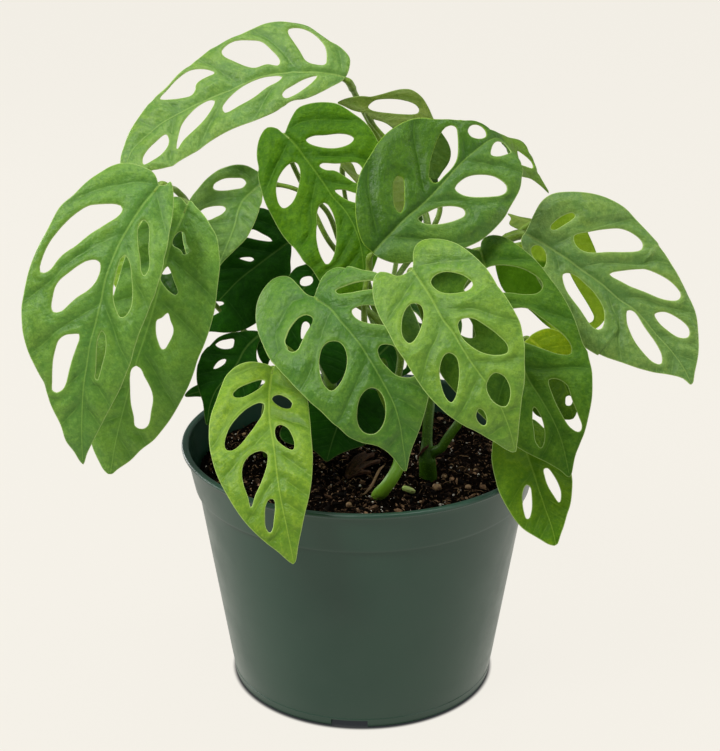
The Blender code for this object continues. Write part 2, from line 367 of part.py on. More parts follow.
   [(544,469),(547.5,468),(554,476),(559,486),(561,494),(559.4,503),(554,496),(548,486),(545,477)]]),
"leaf_15": dict(mid=[(291,241,58),(283,246,56),(262,262,52),(240,279,48),(218,301.5,44),(200,320,40),(186,334,37)],
  roll=(-20,-20,-16), cup=2.5, fold=3.0,
  edge=[(291,241),(288,230),(281,219),(271,211.5),(258,208),(246,212),(231,225),(215,245),(203,268),(194,292),(187,314),(183,334),(196,333),(210,331.5),(225,332.5),(239,331),(247,328),(257,322),(268,312),(279,299),(287,285),(291,272),(290.5,262),(291.5,252)],
  holes=[[(272,241),(262,240.5),(250,238),(243,236),(245,231),(253,229.5),(262,233.5),(270,238)],
   [(239.5,258.3),(246,257),(252,257.5),(254,259.5),(251,261.5),(245,260.5)],
   [(205,303),(214,301.5),(223,302),(224,304),(218.5,306.5),(221.5,310.5),(217,313.5),(212,316),(205,315)]]),
"leaf_16": dict(mid=[(322,262,14),(309,280,10),(296,302,6),(283,327,2),(273,347,-1),(267,366,-4)],
  roll=(-8,-8,-8), cup=2.0, fold=2.5,
  edge=[(321,260),(312,262),(303,265),(296,267.5),(290.5,273.5),(283,285),(272,302),(262,320),(257.5,337),(257,350),(261,361),(267,366),(271,358),(277,357),(285,357),(293,355),(302,349),(311,335),(318,318),(323,300),(326,284),(327,270)],
  holes=[[(300,281.5),(302,278),(307,276.3),(311.5,276.5),(313,281),(310.5,284.5),(304,286),(300.5,284.5)],
   [(303,323),(306,321.5),(310,325),(308.5,330),(304,338),(301.5,339),(301,331)]]),
"leaf_17": dict(mid=[(262,333,-14),(250,343,-19),(243,352,-23),(238,362,-27),(228,376,-32),(216,390,-37),(210,405,-40),(207,426,-42)],
  roll=(-8,-8,-8), cup=2.0, fold=2.5,
  edge=[(262,333.5),(257,331),(249,330.5),(240,331.5),(226,334),(213,342),(203,352),(197.5,365),(196.5,378),(199,391),(203,403),(207,426),(214,420),(224,414),(238,406),(250,398),(259,388),(262.5,377),(259,366),(256.5,354),(260,340)],
  holes=[[(215.5,344.5),(219,341.5),(226,339.5),(234,339),(234,343),(232.5,347.5),(227,349),(220,348)],
   [(213.5,369),(216,364),(220.5,360),(226,359),(225,363),(220,367)]]),
"leaf_18": dict(mid=[(236,388,16),(222,388.5,12),(208,390,8),(195,393,4),(184.5,396.3,0)],
  roll=(-30,-30,-30), cup=1.0, fold=1.0,
  edge=[(237,388),(232,381),(222,379.5),(210,381),(198,384.5),(190,389),(184.5,396.3),(198,396.5),(212,397.5),(224,397),(233,394)],
  holes=[]),
"leaf_19": dict(mid=[(350,399,6),(346,407,0),(340,420,-10),(333,439,-21),(326.4,462,-32)],
  roll=(6,6,6), cup=2.0, fold=2.0,
  edge=[(350,398.5),(343,393.5),(334,394),(318,398),(300,408),(287,420),(279.5,433),(283,441),(296,446),(312,449.5),(320,456),(326.4,462),(333,458),(340,454),(350,450),(362,446),(374,440),(384,430),(389,415),(386,400),(376,390),(362,389),(354,393)],
  holes=[]),
"leaf_20": dict(mid=[(398,333,14),(389,345,10),(375,358,2),(355,371,-8),(333,384.5,-17)],
  roll=(-14,-14,-14), cup=2.0, fold=2.5,
  edge=[(400,332),(394,327),(382,326),(366,329),(346,334),(330,341),(319,352),(318.5,361),(323,371),(333,384.5),(346,375.5),(360,379),(376,380),(392,378),(405,375),(415,367),(421,355),(420,342),(411,334)],
  holes=[[(379.5,360),(384,358.5),(387.5,365),(387,370.5),(382,366)],
   [(402,357),(405,357.5),(407,362),(405.5,368),(402.5,369.5),(400.5,363)]]),
"leaf_21": dict(mid=[(534,224,40),(538,236,40),(546,252,39),(558,270,37),(575,292,34),(598,318,29)],
  roll=(-20,-20,-20), cup=-1.5, fold=0.5,
  edge=[(534,224),(540,215),(550,210),(565,209),(580,216),(588,233),(596,252),(603,276),(607,300),(604,321),(588,333),(570,337),(548,327),(529,310),(513,299),(503,290),(497,275),(495,260),(501,249),(512,244),(526,243),(531,236)],
  holes=[[(556,268),(561,262),(567,266),(571,276),(590,308),(594,318),(590,323),(583,319),(571,301),(560,284)]]),
"leaf_22": dict(mid=[(529,338,-8),(540,347,-10),(552,360,-13),(562,378,-17),(569,398,-22),(573,419,-27)],
  roll=(10,10,10), cup=2.0, fold=1.5,
  edge=[(528,338.5),(531,335),(538,331),(549,328.3),(560,332),(570,343),(577,362),(579,385),(578.5,402),(577,412),(573,419),(563,419.5),(550,418),(541,417.5),(534,413),(528,398),(524,378),(522,358),(523,343)],
  holes=[[(566,397),(569,395.5),(572,397),(572.5,402),(570,405.5),(566,405),(565.5,400)]]),
"leaf_23": dict(mid=[(545,232,55),(532,224,57),(519,219,59),(507,214,61)],
  roll=(-30,-30,-30), cup=1.0, fold=1.0,
  edge=[(546,232),(540,222),(530,218.5),(519,216.5),(507,213.5),(511,218),(509,224),(515,228),(522,230.5),(533,233)],
  holes=[]),
"leaf_26": dict(mid=[(343,167,38),(356,177,39),(372,189,40),(390,203,40),(411,225,39)],
  roll=(-12,-12,-12), cup=-1.0, fold=0.5,
  edge=[(341,166.5),(340,162.5),(346,161.5),(352,163),(358.5,175),(366,173),(378,170),(392,170),(403,176),(411,190),(414,207),(411,225),(400,221),(386,213),(372,201),(360,187),(350,176)],
  holes=[]),
"leaf_24": dict(mid=[(426,342,38),(430,322,60),(433,306,84),(436,300,104),(439,302,120)],
  side=[(0,-1,.05,.12),(1,-1,.05,.12)], half=15.5, cup=3.0, fold=2.5),
"leaf_25": dict(mid=[(410,172,92),(409,188,108),(408,214,122),(408,250,132)],
  side=[(0,-1,0,0),(1,-1,0,0)], half=14, cup=2.0, fold=2.5),
"leaf_07": dict(mid=[(184,250,44),(172,250,43),(156,257,40),(141,270,36),(131,288,32),(124,312,27)],
  roll=(-10,-10,-8), cup=2.0, fold=1.5,
  edge=[(184,250),(187,240),(184,229),(172,222),(156,219.5),(142,221),(130,229),(121,243),(114,262),(112,280),(118,292),(120,304),(124,312),(138,317),(152,318.5),(164,313),(176,303),(184,290),(189,274),(188,260)],
  holes=[[(160,262),(168,260),(173,266),(171,273),(162,274),(157,268)]]),
}

# Stems: centre line in the drawing view (u, v, depth), foot first, and radii.
STEMS = {
"stem_main": dict(line=[(428,474,-17),(427,456,-15),(427.5,430,-12),(430,400,-8),(431,370,-4),(430,335,0)], r=(4.6,3.0)),
"stem_right": dict(line=[(441,448,-17),(449,436,-18),(459,422,-19),(468,402,-20),(474,374,-20)], r=(2.7,2.0)),
"stem_front": dict(line=[(378,496,-44),(388,484,-43),(397,470,-41),(400,455,-38),(402,435,-34),(404,412,-30),(406,392,-27)], r=(2.9,2.2)),
"stem_back": dict(line=[(380,436,22),(382,405,24),(384,370,27),(386,335,31),(388,305,35)], r=(3.6,2.6)),
"stem_left": dict(line=[(338,436,12),(335,412,12),(331,388,13),(327,362,14)], r=(3.2,2.4)),
}
# Leaf stalks: the stem and the fraction of its height where each one leaves
# it, points on the way (u, v, depth), and the radii at stem and blade.
STALKS = {
"01": ("stem_main", 1.00, [(431,300,8),(430,262,24),(426,217,40),(412,190,56),(398,168,68),(384,148,75),(368,119,77),(357,98,70)], 1.9, 1.4),
"02": ("stem_left", 0.34, [(302,374,44),(276,346,62),(250,308,70),(224,268,69),(206,240,61),(195,217,50),(186,201,35),(180,194,12),(174,189,-12),(167,187,-31)], 1.7, 1.4),
"03": ("stem_left", 0.80, [(308,352,34),(284,332,46),(254,316,55),(224,292,61),(205,262,60),(188,228,50),(178,214,36),(174,209,18),(172,207,2),(179,200,-8)], 1.6, 1.3),
"04": ("stem_back", 0.70, [(364,300,44),(341,246,46),(325,209,42),(298,190,42),(277,184.5,42)], 1.4, 1.1),
"05": ("stem_back", 0.84, [(368,296,34),(342,258,26),(327,238,18),(316,216,20),(302,184,24),(291,160,24)], 1.4, 1.1),
"06": ("stem_front", 0.62, [(390,412,-34),(374,372,-38),(365,330,-36),(365,292,-34),(369,270,-32)], 1.8, 1.5),
"08": ("stem_back", 1.00, [(402,270,52),(428,236,62),(440,208,68),(430,182,70),(408,160,70),(388,141,70),(373,124,70)], 1.5, 1.1),
"09": ("stem_front", 0.92, [(400,352,-22),(380,322,-20),(360,306,-26),(345,300,-34),(330,295,-42)], 1.7, 1.4),
"10": ("stem_main", 0.86, [(424,314,-16),(410,284,-46)], 1.7, 1.4),
"11": (None, (268,452,0), [(264,430,-12),(266,405,-30),(271,384,-42)], 1.8, 1.4),
"12": ("stem_main", 0.90, [(452,300,4),(478,262,10),(504,240,12)], 1.9, 2.0),
"13": ("stem_right", 1.00, [(476,330,-14),(476,285,-8),(477,262,-8)], 1.6, 1.3),
"14": ("stem_right", 0.62, [(488,400,-14),(506,412,-22)], 1.4, 1.1),
"15": ("stem_back", 0.46, [(364,352,52),(340,300,68),(312,256,70)], 1.5, 1.2),
"16": ("stem_left", 1.00, [(327,330,20),(327,292,22)], 1.3, 1.0),
"17": ("stem_left", 0.58, [(316,374,-2),(290,350,-6)], 1.3, 1.0),
"18": ("stem_left", 0.20, [(308,405,22),(262,388,24)], 1.2, 0.9),
"19": ("stem_back", 0.16, [(368,410,16)], 1.3, 1.0),
"20": ("stem_back", 0.34, [(396,362,20)], 1.3, 1.0),
"21": ("stem_main", 0.96, [(452,300,28),(486,262,38),(514,236,44)], 1.5, 1.2),
"22": ("stem_right", 0.80, [(490,366,-4),(512,348,0)], 1.3, 1.0),
"23": ("stem_back", 0.92, [(424,292,52),(470,252,66),(520,244,64)], 1.4, 1.1),
"24": ("stem_back", 0.60, [(410,356,36)], 1.4, 1.1),
"25": ("stem_back", 0.78, [(390,300,60),(400,240,84),(408,200,92)], 1.4, 1.1),
"26": ("stem_back", 0.66, [(376,310,48),(358,246,54),(345,196,50)], 1.3, 1.0),
"07": ("stem_left", 0.50, [(311,379,21),(282,357,36),(254,338,50),(224,314,57),(204,290,58),(192,266,51)], 1.4, 1.1),
}


def loft(line, radii, n, steps):
    """Rings of n points round a curve: vertices and faces of a closed tube."""
    c = curve(line, steps)
    t = unit(np.gradient(c, axis=0))
    a = unit(np.cross(t[0], (0.31, 0.87, 0.38)))
    verts, faces = [], []
    for i in range(steps):
        a = unit(a - (a @ t[i]) * t[i])
        b = np.cross(t[i], a)
        r = np.interp(i / (steps - 1), np.linspace(0, 1, len(radii)), radii)
        for k in range(n):
            w = 2 * math.pi * k / n
            verts.append(c[i] + r * (math.cos(w) * a + math.sin(w) * b))
    for i in range(steps - 1):
        for k in range(n):
            p, q = i * n + k, i * n + (k + 1) % n
            faces.append((p, q, q + n, p + n))
    faces.append(tuple(range(n - 1, -1, -1)))
    faces.append(tuple(range((steps - 1) * n, steps * n)))
    return verts, faces


def turned(profile, n):
    """Solid of revolution about Z. The profile starts and ends on the axis."""
    verts, faces = [], []
    rings = []
    for r, z in profile:
        if r < 1e-6:
            rings.append([len(verts)])
            verts.append((0.0, 0.0, z))
        else:
            rings.append(list(range(len(verts), len(verts) + n)))
            for k in range(n):
                w = 2 * math.pi * (k + 0.5) / n
                verts.append((r * math.cos(w), r * math.sin(w), z))
    for a, b in zip(rings, rings[1:]):
        for k in range(n):
            j = (k + 1) % n
            if len(a) == 1:
                faces.append((a[0], b[k], b[j]))
            elif len(b) == 1:
                faces.append((a[k], b[0], a[j]))
            else:
                faces.append((a[k], b[k], b[j], a[j]))
    return verts, faces


def new_object(name, verts, faces, mat, smooth=True):
    mesh = bpy.data.meshes.new(name)
    mesh.from_pydata([tuple(MM * x for x in v) for v in verts], [], faces)
    mesh.materials.append(mat)
    bm = bmesh.new()
    bm.from_mesh(mesh)
    bmesh.ops.recalc_face_normals(bm, faces=bm.faces)
    bm.to_mesh(mesh)
    bm.free()
    if smooth:
        mesh.shade_smooth()
        mesh.set_sharp_from_angle(angle=math.radians(40))
    ob = bpy.data.objects.new(name, mesh)
    bpy.context.collection.objects.link(ob)
    ob.parent = plant if name.split("_")[0] in ("leaf", "petiole", "stem") else holder
    return ob


def material(name, colour, rough):
    m = bpy.data.materials.new(name)
    m.use_nodes = True
    s = m.node_tree.nodes["Principled BSDF"]
    s.inputs["Base Color"].default_value = (*colour, 1.0)
    s.inputs["Roughness"].default_value = rough
    s.inputs["Metallic"].default_value = 0.0
    return m


def inside(p, poly):
    x, y = p
    c = False
    j = len(poly) - 1
    for i in range(len(poly)):
        if (poly[i][1] > y) != (poly[j][1] > y):
            if x < (poly[j][0] - poly[i][0]) * (y - poly[i][1]) / (poly[j][1] - poly[i][1]) + poly[i][0]:
                c = not c
        j = i
    return c


def sheet_mesh(edge, holes, step):
    """Triangles of the flat blade between its outline and its holes."""
    def loop(pts, lo):
        d = np.linalg.norm(np.diff(np.vstack((pts, pts[:1])), axis=0), axis=1).sum()
        return curve(pts, max(lo, int(round(d / step))), True)
    loops = [loop(edge, 24)] + [loop(h, 7) for h in holes]
    verts, lines = [], []
    for c in loops:
        k = len(verts)
        verts += [Vector(map(float, p)) for p in c]
        lines += [(k + i, k + (i + 1) % len(c)) for i in range(len(c))]
    rim = np.vstack(loops)
    g = step * 1.7
    lo, hi = rim.min(0), rim.max(0)
    for i, s in enumerate(np.arange(lo[0] + g / 2, hi[0], g * 0.87)):
        for t in np.arange(lo[1] + (g / 2 if i % 2 else g), hi[1], g):
            if inside((s, t), loops[0]) and not any(inside((s, t), h) for h in loops[1:]):
                if np.min(np.hypot(rim[:, 0] - s, rim[:, 1] - t)) > g * 0.45:
                    verts.append(Vector((float(s), float(t))))
    out, _, tris, _, _, _ = delaunay_2d_cdt(verts, lines, [], 0, 1e-5)
    out = np.array([tuple(v) for v in out])
    keep = []
    for f in tris:
        c = out[list(f)].mean(0)
        if inside(c, loops[0]) and not any(inside(c, h) for h in loops[1:]):
            keep.append(tuple(f))
    used = sorted({i for f in keep for i in f})
    index = {v: i for i, v in enumerate(used)}
    return out[used], [tuple(index[i] for i in f) for f in keep]


# ------------------------------------------------------------------- the pieces
for ob in list(bpy.data.objects):
    bpy.data.objects.remove(ob, do_unlink=True)

holder = bpy.data.objects.new("pot_frame", None)
plant = bpy.data.objects.new("plant_frame", None)
for e in (holder, plant):
    bpy.context.collection.objects.link(e)
plant.parent = holder

POT_GREEN = material("pot_plastic", (0.055, 0.095, 0.075), 0.42)
SOIL_BROWN = material("potting_mix", (0.022, 0.015, 0.011), 0.95)
STEM_GREEN = material("stem_green", (0.13, 0.25, 0.05), 0.45)
STALK_GREEN = material("petiole_green", (0.15, 0.29, 0.06), 0.42)

# Pot: lip, straight band, ledge and tapering wall, open at the top
verts, faces = turned(POT_PROFILE, POT_SIDES)
pot = new_object("pot", verts, faces, POT_GREEN)
for k in range(DRAINS):
    bpy.ops.mesh.primitive_cube_add(size=1.0)
    cut = bpy.context.object
    cut.name = "drain_cutter_%d" % k
    ang = DRAIN_START + k * 2 * math.pi / DRAINS
    cut.scale = (DRAIN_DEPTH * MM, DRAIN_WIDTH * MM, DRAIN_HEIGHT * 2 * MM)
    cut.location = (math.cos(ang) * DRAIN_RADIUS * MM, math.sin(ang) * DRAIN_RADIUS * MM, 0.0)
    cut.rotation_euler = (0, 0, ang)
    cut.parent = holder
    cut.hide_render = True
    cut.display_type = "WIRE"
    m = pot.modifiers.new("drain_%d" % k, "BOOLEAN")
    m.operation = "DIFFERENCE"
    m.object = cut

# Potting mix fills the pot to SOIL_TOP, a little below the lip
verts, faces = turned(SOIL_PROFILE, 32)
new_object("soil", verts, faces, SOIL_BROWN)


def stem_line(spec):
    """A stem stands on the potting mix just under its first point."""
    first = spec["line"][0]
    return [at_z(first[0], first[1], SOIL_TOP + 0.35)] + [at(*q) for q in spec["line"][1:]]


def level_foot(verts, n):
    """Cut the lowest ring level with the potting mix."""
    for i in range(n):
        verts[i][2] = SOIL_TOP + 0.35


lines = {}
for name, spec in STEMS.items():
    pts = stem_line(spec)
    if name == "stem_right":
        pts = [at(*q) for q in spec["line"]]
    lines[name] = (curve(pts, 41), spec["r"])
    verts, faces = loft(pts, spec["r"], 8, 9)
    if name != "stem_right":
        level_foot(verts, 8)
    new_object(name, verts, faces, STEM_GREEN)

blades = {}
for name, spec in LEAVES.items():
    blade, edge, holes = leaf_plan(spec)
    blades[name[-2:]] = blade
    flat, tris = sheet_mesh(edge, holes, LEAF_STEP)
    pts = blade.point(flat[:, 0], flat[:, 1])
    tint = TINTS.get(name, SHADED)
    mesh = bpy.data.meshes.new(name)
    mesh.from_pydata([tuple(MM * x for x in p) for p in pts], [], tris)
    mesh.materials.append(material("blade_" + name[-2:], tint, 0.4))
    bm = bmesh.new()
    bm.from_mesh(mesh)
    bmesh.ops.recalc_face_normals(bm, faces=bm.faces)
    bm.to_mesh(mesh)
    bm.free()
    mesh.shade_smooth()
    ob = bpy.data.objects.new(name, mesh)
    bpy.context.collection.objects.link(ob)
    ob.parent = plant
    m = ob.modifiers.new("thickness", "SOLIDIFY")
    m.thickness = LEAF_THICK * MM
    m.offset = 0.0
    m.use_even_offset = True


def stalk_line(key):
    stem, where, via, r0, r1 = STALKS[key]
    blade = blades[key]
    mids = [at(*q) for q in via]
    near = unit(blade.m[0] - mids[-1])
    lean = math.sqrt(max(0.0, 1.0 - float(near @ blade.n[0]) ** 2))
    end = blade.m[0] - blade.n[0] * (LEAF_THICK / 2 + 0.35 + r1 * max(lean, 0.35)) + blade.t[0] * 0.5
    if stem is None:
        foot = at_z(where[0], where[1], SOIL_TOP + 0.35)
        return [foot] + mids + [end], r0, r1
    c, rr = lines[stem]
    i = int(round(where * 40))
    r = rr[0] + (rr[1] - rr[0]) * where
    out = mids[0] - c[i]
    up = unit(c[min(i + 1, 40)] - c[max(i - 1, 0)])
    if where > 0.97:
        foot = c[40] + up * (0.5 + 0.45 * r0)
        mids = [foot + up * 6] + mids
    else:
        out = unit(out - (out @ up) * up)
        foot = c[i] + out * (r + r0 + 0.5)
        mids = [foot + up * 5 + out * 3.0] + mids
    return [foot] + mids + [end], r0, r1


for key in STALKS:
    pts, r0, r1 = stalk_line(key)
    length = sum(np.linalg.norm(b - a) for a, b in zip(pts, pts[1:]))
    verts, faces = loft(pts, (r0, (r0 + r1) / 2, r1), 6, max(6, int(length / 13)))
    if STALKS[key][0] is None:
        level_foot(verts, 6)
    new_object("petiole_" + key, verts, faces, STALK_GREEN)
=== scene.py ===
"""A swiss-cheese plant (Monstera adansonii) in a round plastic nursery pot.

Every leaf is a thin closed blade with its own outline, holes, sunken veins
and pale margin; stalks join leaves to stems and stems stand in a bark mix.
Lengths in the tables are millimetres, depths run away from the camera.
"""
import math

import bmesh
import bpy
import numpy as np
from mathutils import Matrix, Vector
from mathutils.geometry import delaunay_2d_cdt


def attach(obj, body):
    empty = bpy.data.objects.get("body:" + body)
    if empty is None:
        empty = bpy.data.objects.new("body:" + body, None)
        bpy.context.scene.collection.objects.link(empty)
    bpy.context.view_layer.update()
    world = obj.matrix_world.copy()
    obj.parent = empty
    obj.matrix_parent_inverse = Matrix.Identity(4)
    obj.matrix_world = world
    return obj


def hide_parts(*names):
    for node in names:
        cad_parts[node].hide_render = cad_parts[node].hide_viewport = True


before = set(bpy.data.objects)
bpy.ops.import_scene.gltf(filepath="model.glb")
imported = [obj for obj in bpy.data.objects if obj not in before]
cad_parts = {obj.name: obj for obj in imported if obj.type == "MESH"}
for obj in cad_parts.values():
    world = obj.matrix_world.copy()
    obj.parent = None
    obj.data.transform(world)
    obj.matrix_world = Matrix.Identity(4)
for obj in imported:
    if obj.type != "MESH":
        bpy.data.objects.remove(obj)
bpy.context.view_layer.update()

MM = 0.001
POT_HEIGHT = 116.5
LIP_RADIUS = 82.5
BAND_BOTTOM = 96.5
BAND_RADIUS = 76.9
WALL_TOP_RADIUS = 75.5
BASE_RADIUS = 60.45
SOIL_TOP = 104.2

# ---------------------------------------------------------------- drawing view
# The outlines are drawn in one front elevation, seen from an eye point in
# front of and above the pot. A drawing point (u, v) and a depth y give a point.
EYE = np.array((-1.089, -814.61, 470.01))
PITCH = math.radians(21.627)
FOCAL, CU, CV = 1939.74, 360.0, 375.5
FWD = np.array((0.0, math.cos(PITCH), -math.sin(PITCH)))
UPV = np.array((0.0, math.sin(PITCH), math.cos(PITCH)))
RGT = np.array((1.0, 0.0, 0.0))


def sight(u, v):
    return FWD + RGT * ((u - CU) / FOCAL) + UPV * ((CV - v) / FOCAL)


def at(u, v, y):
    """Point on the sight line of drawing point (u, v) at depth y."""
    d = sight(u, v)
    return EYE + d * ((y - EYE[1]) / d[1])


def at_z(u, v, z):
    """Point on the sight line of drawing point (u, v) at height z."""
    d = sight(u, v)
    return EYE + d * ((z - EYE[2]) / d[2])


def draw(p):
    """Drawing point of a point, or of an array of points."""
    q = np.asarray(p, float) - EYE
    w = q @ FWD
    return np.stack((CU + FOCAL * (q @ RGT) / w, CV - FOCAL * (q @ UPV) / w), -1)


def unit(a):
    a = np.asarray(a, float)
    n = np.linalg.norm(a, axis=-1, keepdims=True)
    return a / np.maximum(n, 1e-12)


def curve(pts, n, closed=False, alpha=0.5):
    """n points along a centripetal Catmull-Rom curve, evenly by length."""
    p = np.asarray(pts, float)
    if closed:
        p = np.vstack((p[-1], p, p[0], p[1]))
    else:
        p = np.vstack((2 * p[0] - p[1], p, 2 * p[-1] - p[-2]))
    out = []
    for i in range(len(p) - 3):
        a, b, c, d = p[i:i + 4]
        t0 = 0.0
        t1 = t0 + max(np.linalg.norm(b - a), 1e-9) ** alpha
        t2 = t1 + max(np.linalg.norm(c - b), 1e-9) ** alpha
        t3 = t2 + max(np.linalg.norm(d - c), 1e-9) ** alpha
        t = np.linspace(t1, t2, 13)[:-1, None]
        a1 = (t1 - t) / (t1 - t0) * a + (t - t0) / (t1 - t0) * b
        a2 = (t2 - t) / (t2 - t1) * b + (t - t1) / (t2 - t1) * c
        a3 = (t3 - t) / (t3 - t2) * c + (t - t2) / (t3 - t2) * d
        b1 = (t2 - t) / (t2 - t0) * a1 + (t - t0) / (t2 - t0) * a2
        b2 = (t3 - t) / (t3 - t1) * a2 + (t - t1) / (t3 - t1) * a3
        out.append((t2 - t) / (t2 - t1) * b1 + (t - t1) / (t2 - t1) * b2)
    out = np.vstack(out + [p[-2][None]])
    s = np.r_[0, np.cumsum(np.linalg.norm(np.diff(out, axis=0), axis=1))]
    q = np.linspace(0, s[-1], n + 1 if closed else n)
    if closed:
        q = q[:-1]
    return np.stack([np.interp(q, s, out[:, k]) for k in range(out.shape[1])], -1)


class Blade:
    """The curved middle surface of one leaf: a midrib with a width direction.

    mid   drawing points of the midrib with depths, base first
    roll  degrees at base, middle and tip; positive turns the right side away
    cup   mm that the margins droop 25 mm from the midrib
    fold  mm that the blade rises each side of the midrib, 25 mm out
    """

    def __init__(self, mid, roll=(0, 0, 0), cup=2.0, fold=1.5, side=None, wave=0.0):
        m = np.array([at(*q) for q in mid])
        self.m = curve(m, 61)
        d = np.linalg.norm(np.diff(self.m, axis=0), axis=1)
        self.s = np.r_[0, np.cumsum(d)]
        self.length = self.s[-1]
        t = unit(np.gradient(self.m, self.s, axis=0))
        view = unit(EYE - self.m)
        f = self.s / self.length
        if side is None:
            w0 = unit(np.cross(view, t))
            n0 = np.cross(t, w0)
            r = np.radians(np.interp(f, np.linspace(0, 1, len(roll)), roll))
            k = np.exp(-0.5 * (np.arange(-12, 13) / 5.0) ** 2)
            r = np.convolve(np.pad(r, 12, mode="edge"), k / k.sum(), "valid")
            w = np.cos(r)[:, None] * w0 - np.sin(r)[:, None] * n0
        else:
            g = np.array([q[0] for q in side])
            h = np.array([unit(q[1:]) for q in side])
            w = np.stack([np.interp(f, g, h[:, i]) for i in range(3)], -1)
        k = np.exp(-0.5 * (np.arange(-12, 13) / 5.0) ** 2)
        w = np.stack([np.convolve(np.pad(w[:, i], 12, mode="edge"), k / k.sum(), "valid") for i in range(3)], -1)
        w = unit(w - (w * t).sum(-1)[:, None] * t)
        self.t, self.w = t, w
        self.n = unit(np.cross(t, w))
        self.cup, self.fold, self.wave = cup, fold, wave

    def frame(self, s):
        s = np.asarray(s, float)
        c = np.clip(s, 0, self.length)
        m, t, w, n = (np.stack([np.interp(c, self.s, a[:, i]) for i in range(3)], -1)
                      for a in (self.m, self.t, self.w, self.n))
        w, n, t = unit(w), unit(n), unit(t)
        return m + (s - c)[..., None] * t, w, n, t

    def rise(self, s, t):
        a = np.abs(t) / 25.0
        f = np.clip(s / self.length, -0.3, 1.2)
        soft = np.sqrt(a * a + 0.01) - 0.1
        taper = np.clip(1.15 - 0.75 * f, 0.2, 1.3)
        z = self.fold * soft * taper - self.cup * a * a
        if self.wave:
            z = z + self.wave * a * np.sin(f * 9.0 + 1.3 * np.sign(t))
        return z

    def point(self, s, t, lift=0.0):
        s, t = np.asarray(s, float), np.asarray(t, float)
        m, w, n, _ = self.frame(s)
        return m + w * t[..., None] + n * (self.rise(s, t) + lift)[..., None]

    def find(self, uv, lo=0.0, hi=1.0):
        """Blade coordinates (s, t) of drawing points, by Newton steps.

        lo and hi keep the start on one side of a fold in the blade.
        """
        uv = np.asarray(uv, float)
        mid = draw(self.m)
        f = self.s / self.length
        d = uv[:, None] - mid[None]
        far = np.where((f < lo) | (f > (hi - 0.08 if hi < 1 else 1)), 1e9, 0.0)
        i = np.argmin((d ** 2).sum(-1) + far, axis=1)
        s = self.s[i].copy()
        wd = draw(self.m + self.w) - mid
        t = (d[np.arange(len(uv)), i] * wd[i]).sum(-1) / np.maximum((wd[i] ** 2).sum(-1), 1e-6)
        t = np.clip(t, -60, 60)
        for _ in range(40):
            p = draw(self.point(s, t))
            e = uv - p
            ps = (draw(self.point(s + 0.1, t)) - p) / 0.1
            pt = (draw(self.point(s, t + 0.1)) - p) / 0.1
            det = ps[:, 0] * pt[:, 1] - ps[:, 1] * pt[:, 0]
            det = np.where(np.abs(det) < 0.05, 0.05 * np.where(det < 0, -1, 1), det)
            ds = (e[:, 0] * pt[:, 1] - e[:, 1] * pt[:, 0]) / det
            dt = (ps[:, 0] * e[:, 1] - ps[:, 1] * e[:, 0]) / det
            k = 0.7 / np.maximum(1.0, np.hypot(ds, dt) / 12.0)
            s, t = s + ds * k, t + dt * k
            if lo > 0 or hi < 1:
                s = np.clip(s, (lo - (9 if lo <= 0 else 0)) * self.length, min(hi + 0.06, 1.0) * self.length)
        return np.stack((s, t), -1)


def trace(blade, pts, crease):
    """Blade coordinates of drawn points. A third value of 1 marks those past
    the crease, and 2 those that are blade coordinates already."""
    kind = np.array([p[2] if len(p) > 2 else 0 for p in pts])
    uv = np.array([p[:2] for p in pts], float)
    out = uv.copy()
    front, back = kind == 0, kind == 1
    if front.any():
        out[front] = blade.find(uv[front], 0.0, crease)
    if back.any():
        out[back] = blade.find(uv[back], crease, 1.0)
    return out


def plain_leaf(length, half):
    """Outline and holes (s, t) of a leaf that the drawing doesn't show."""
    a = [(0, 0), (-0.07, 0.30), (-0.06, 0.62), (0.04, 0.88), (0.18, 1.0), (0.34, 0.98), (0.50, 0.84),
         (0.65, 0.62), (0.79, 0.38), (0.90, 0.16), (0.96, 0.06)]
    right = [(length * p, half * q) for p, q in a]
    left = [(p, -q) for p, q in right[:0:-1]]
    holes = []
    for side in (-1, 1):
        for p, q, w in ((0.12, 0.50, 0.055), (0.32, 0.50, 0.06), (0.52, 0.40, 0.05)):
            c = []
            for k in range(10):
                x = math.cos(k * math.pi / 5)
                y = math.sin(k * math.pi / 5)
                c.append((length * (p + 0.10 * x + w * y * 0.8), side * half * (q + 0.28 * x)))
            holes.append(c)
    return right + [(length, 0.0)] + left, holes


def leaf_plan(spec):
    """The blade, outline (s, t) and holes (s, t) of one leaf."""
    blade = Blade(spec["mid"], spec.get("roll", (0, 0, 0)), spec["cup"], spec["fold"],
                  spec.get("side"), spec.get("wave", 0.0))
    if "half" in spec:
        edge, holes = plain_leaf(blade.length, spec["half"])
        return blade, np.array(edge), [np.array(h) for h in holes]
    crease = spec.get("crease", 1.0)
    return (blade, trace(blade, spec["edge"], crease),
            [trace(blade, h, crease) for h in spec["holes"]])


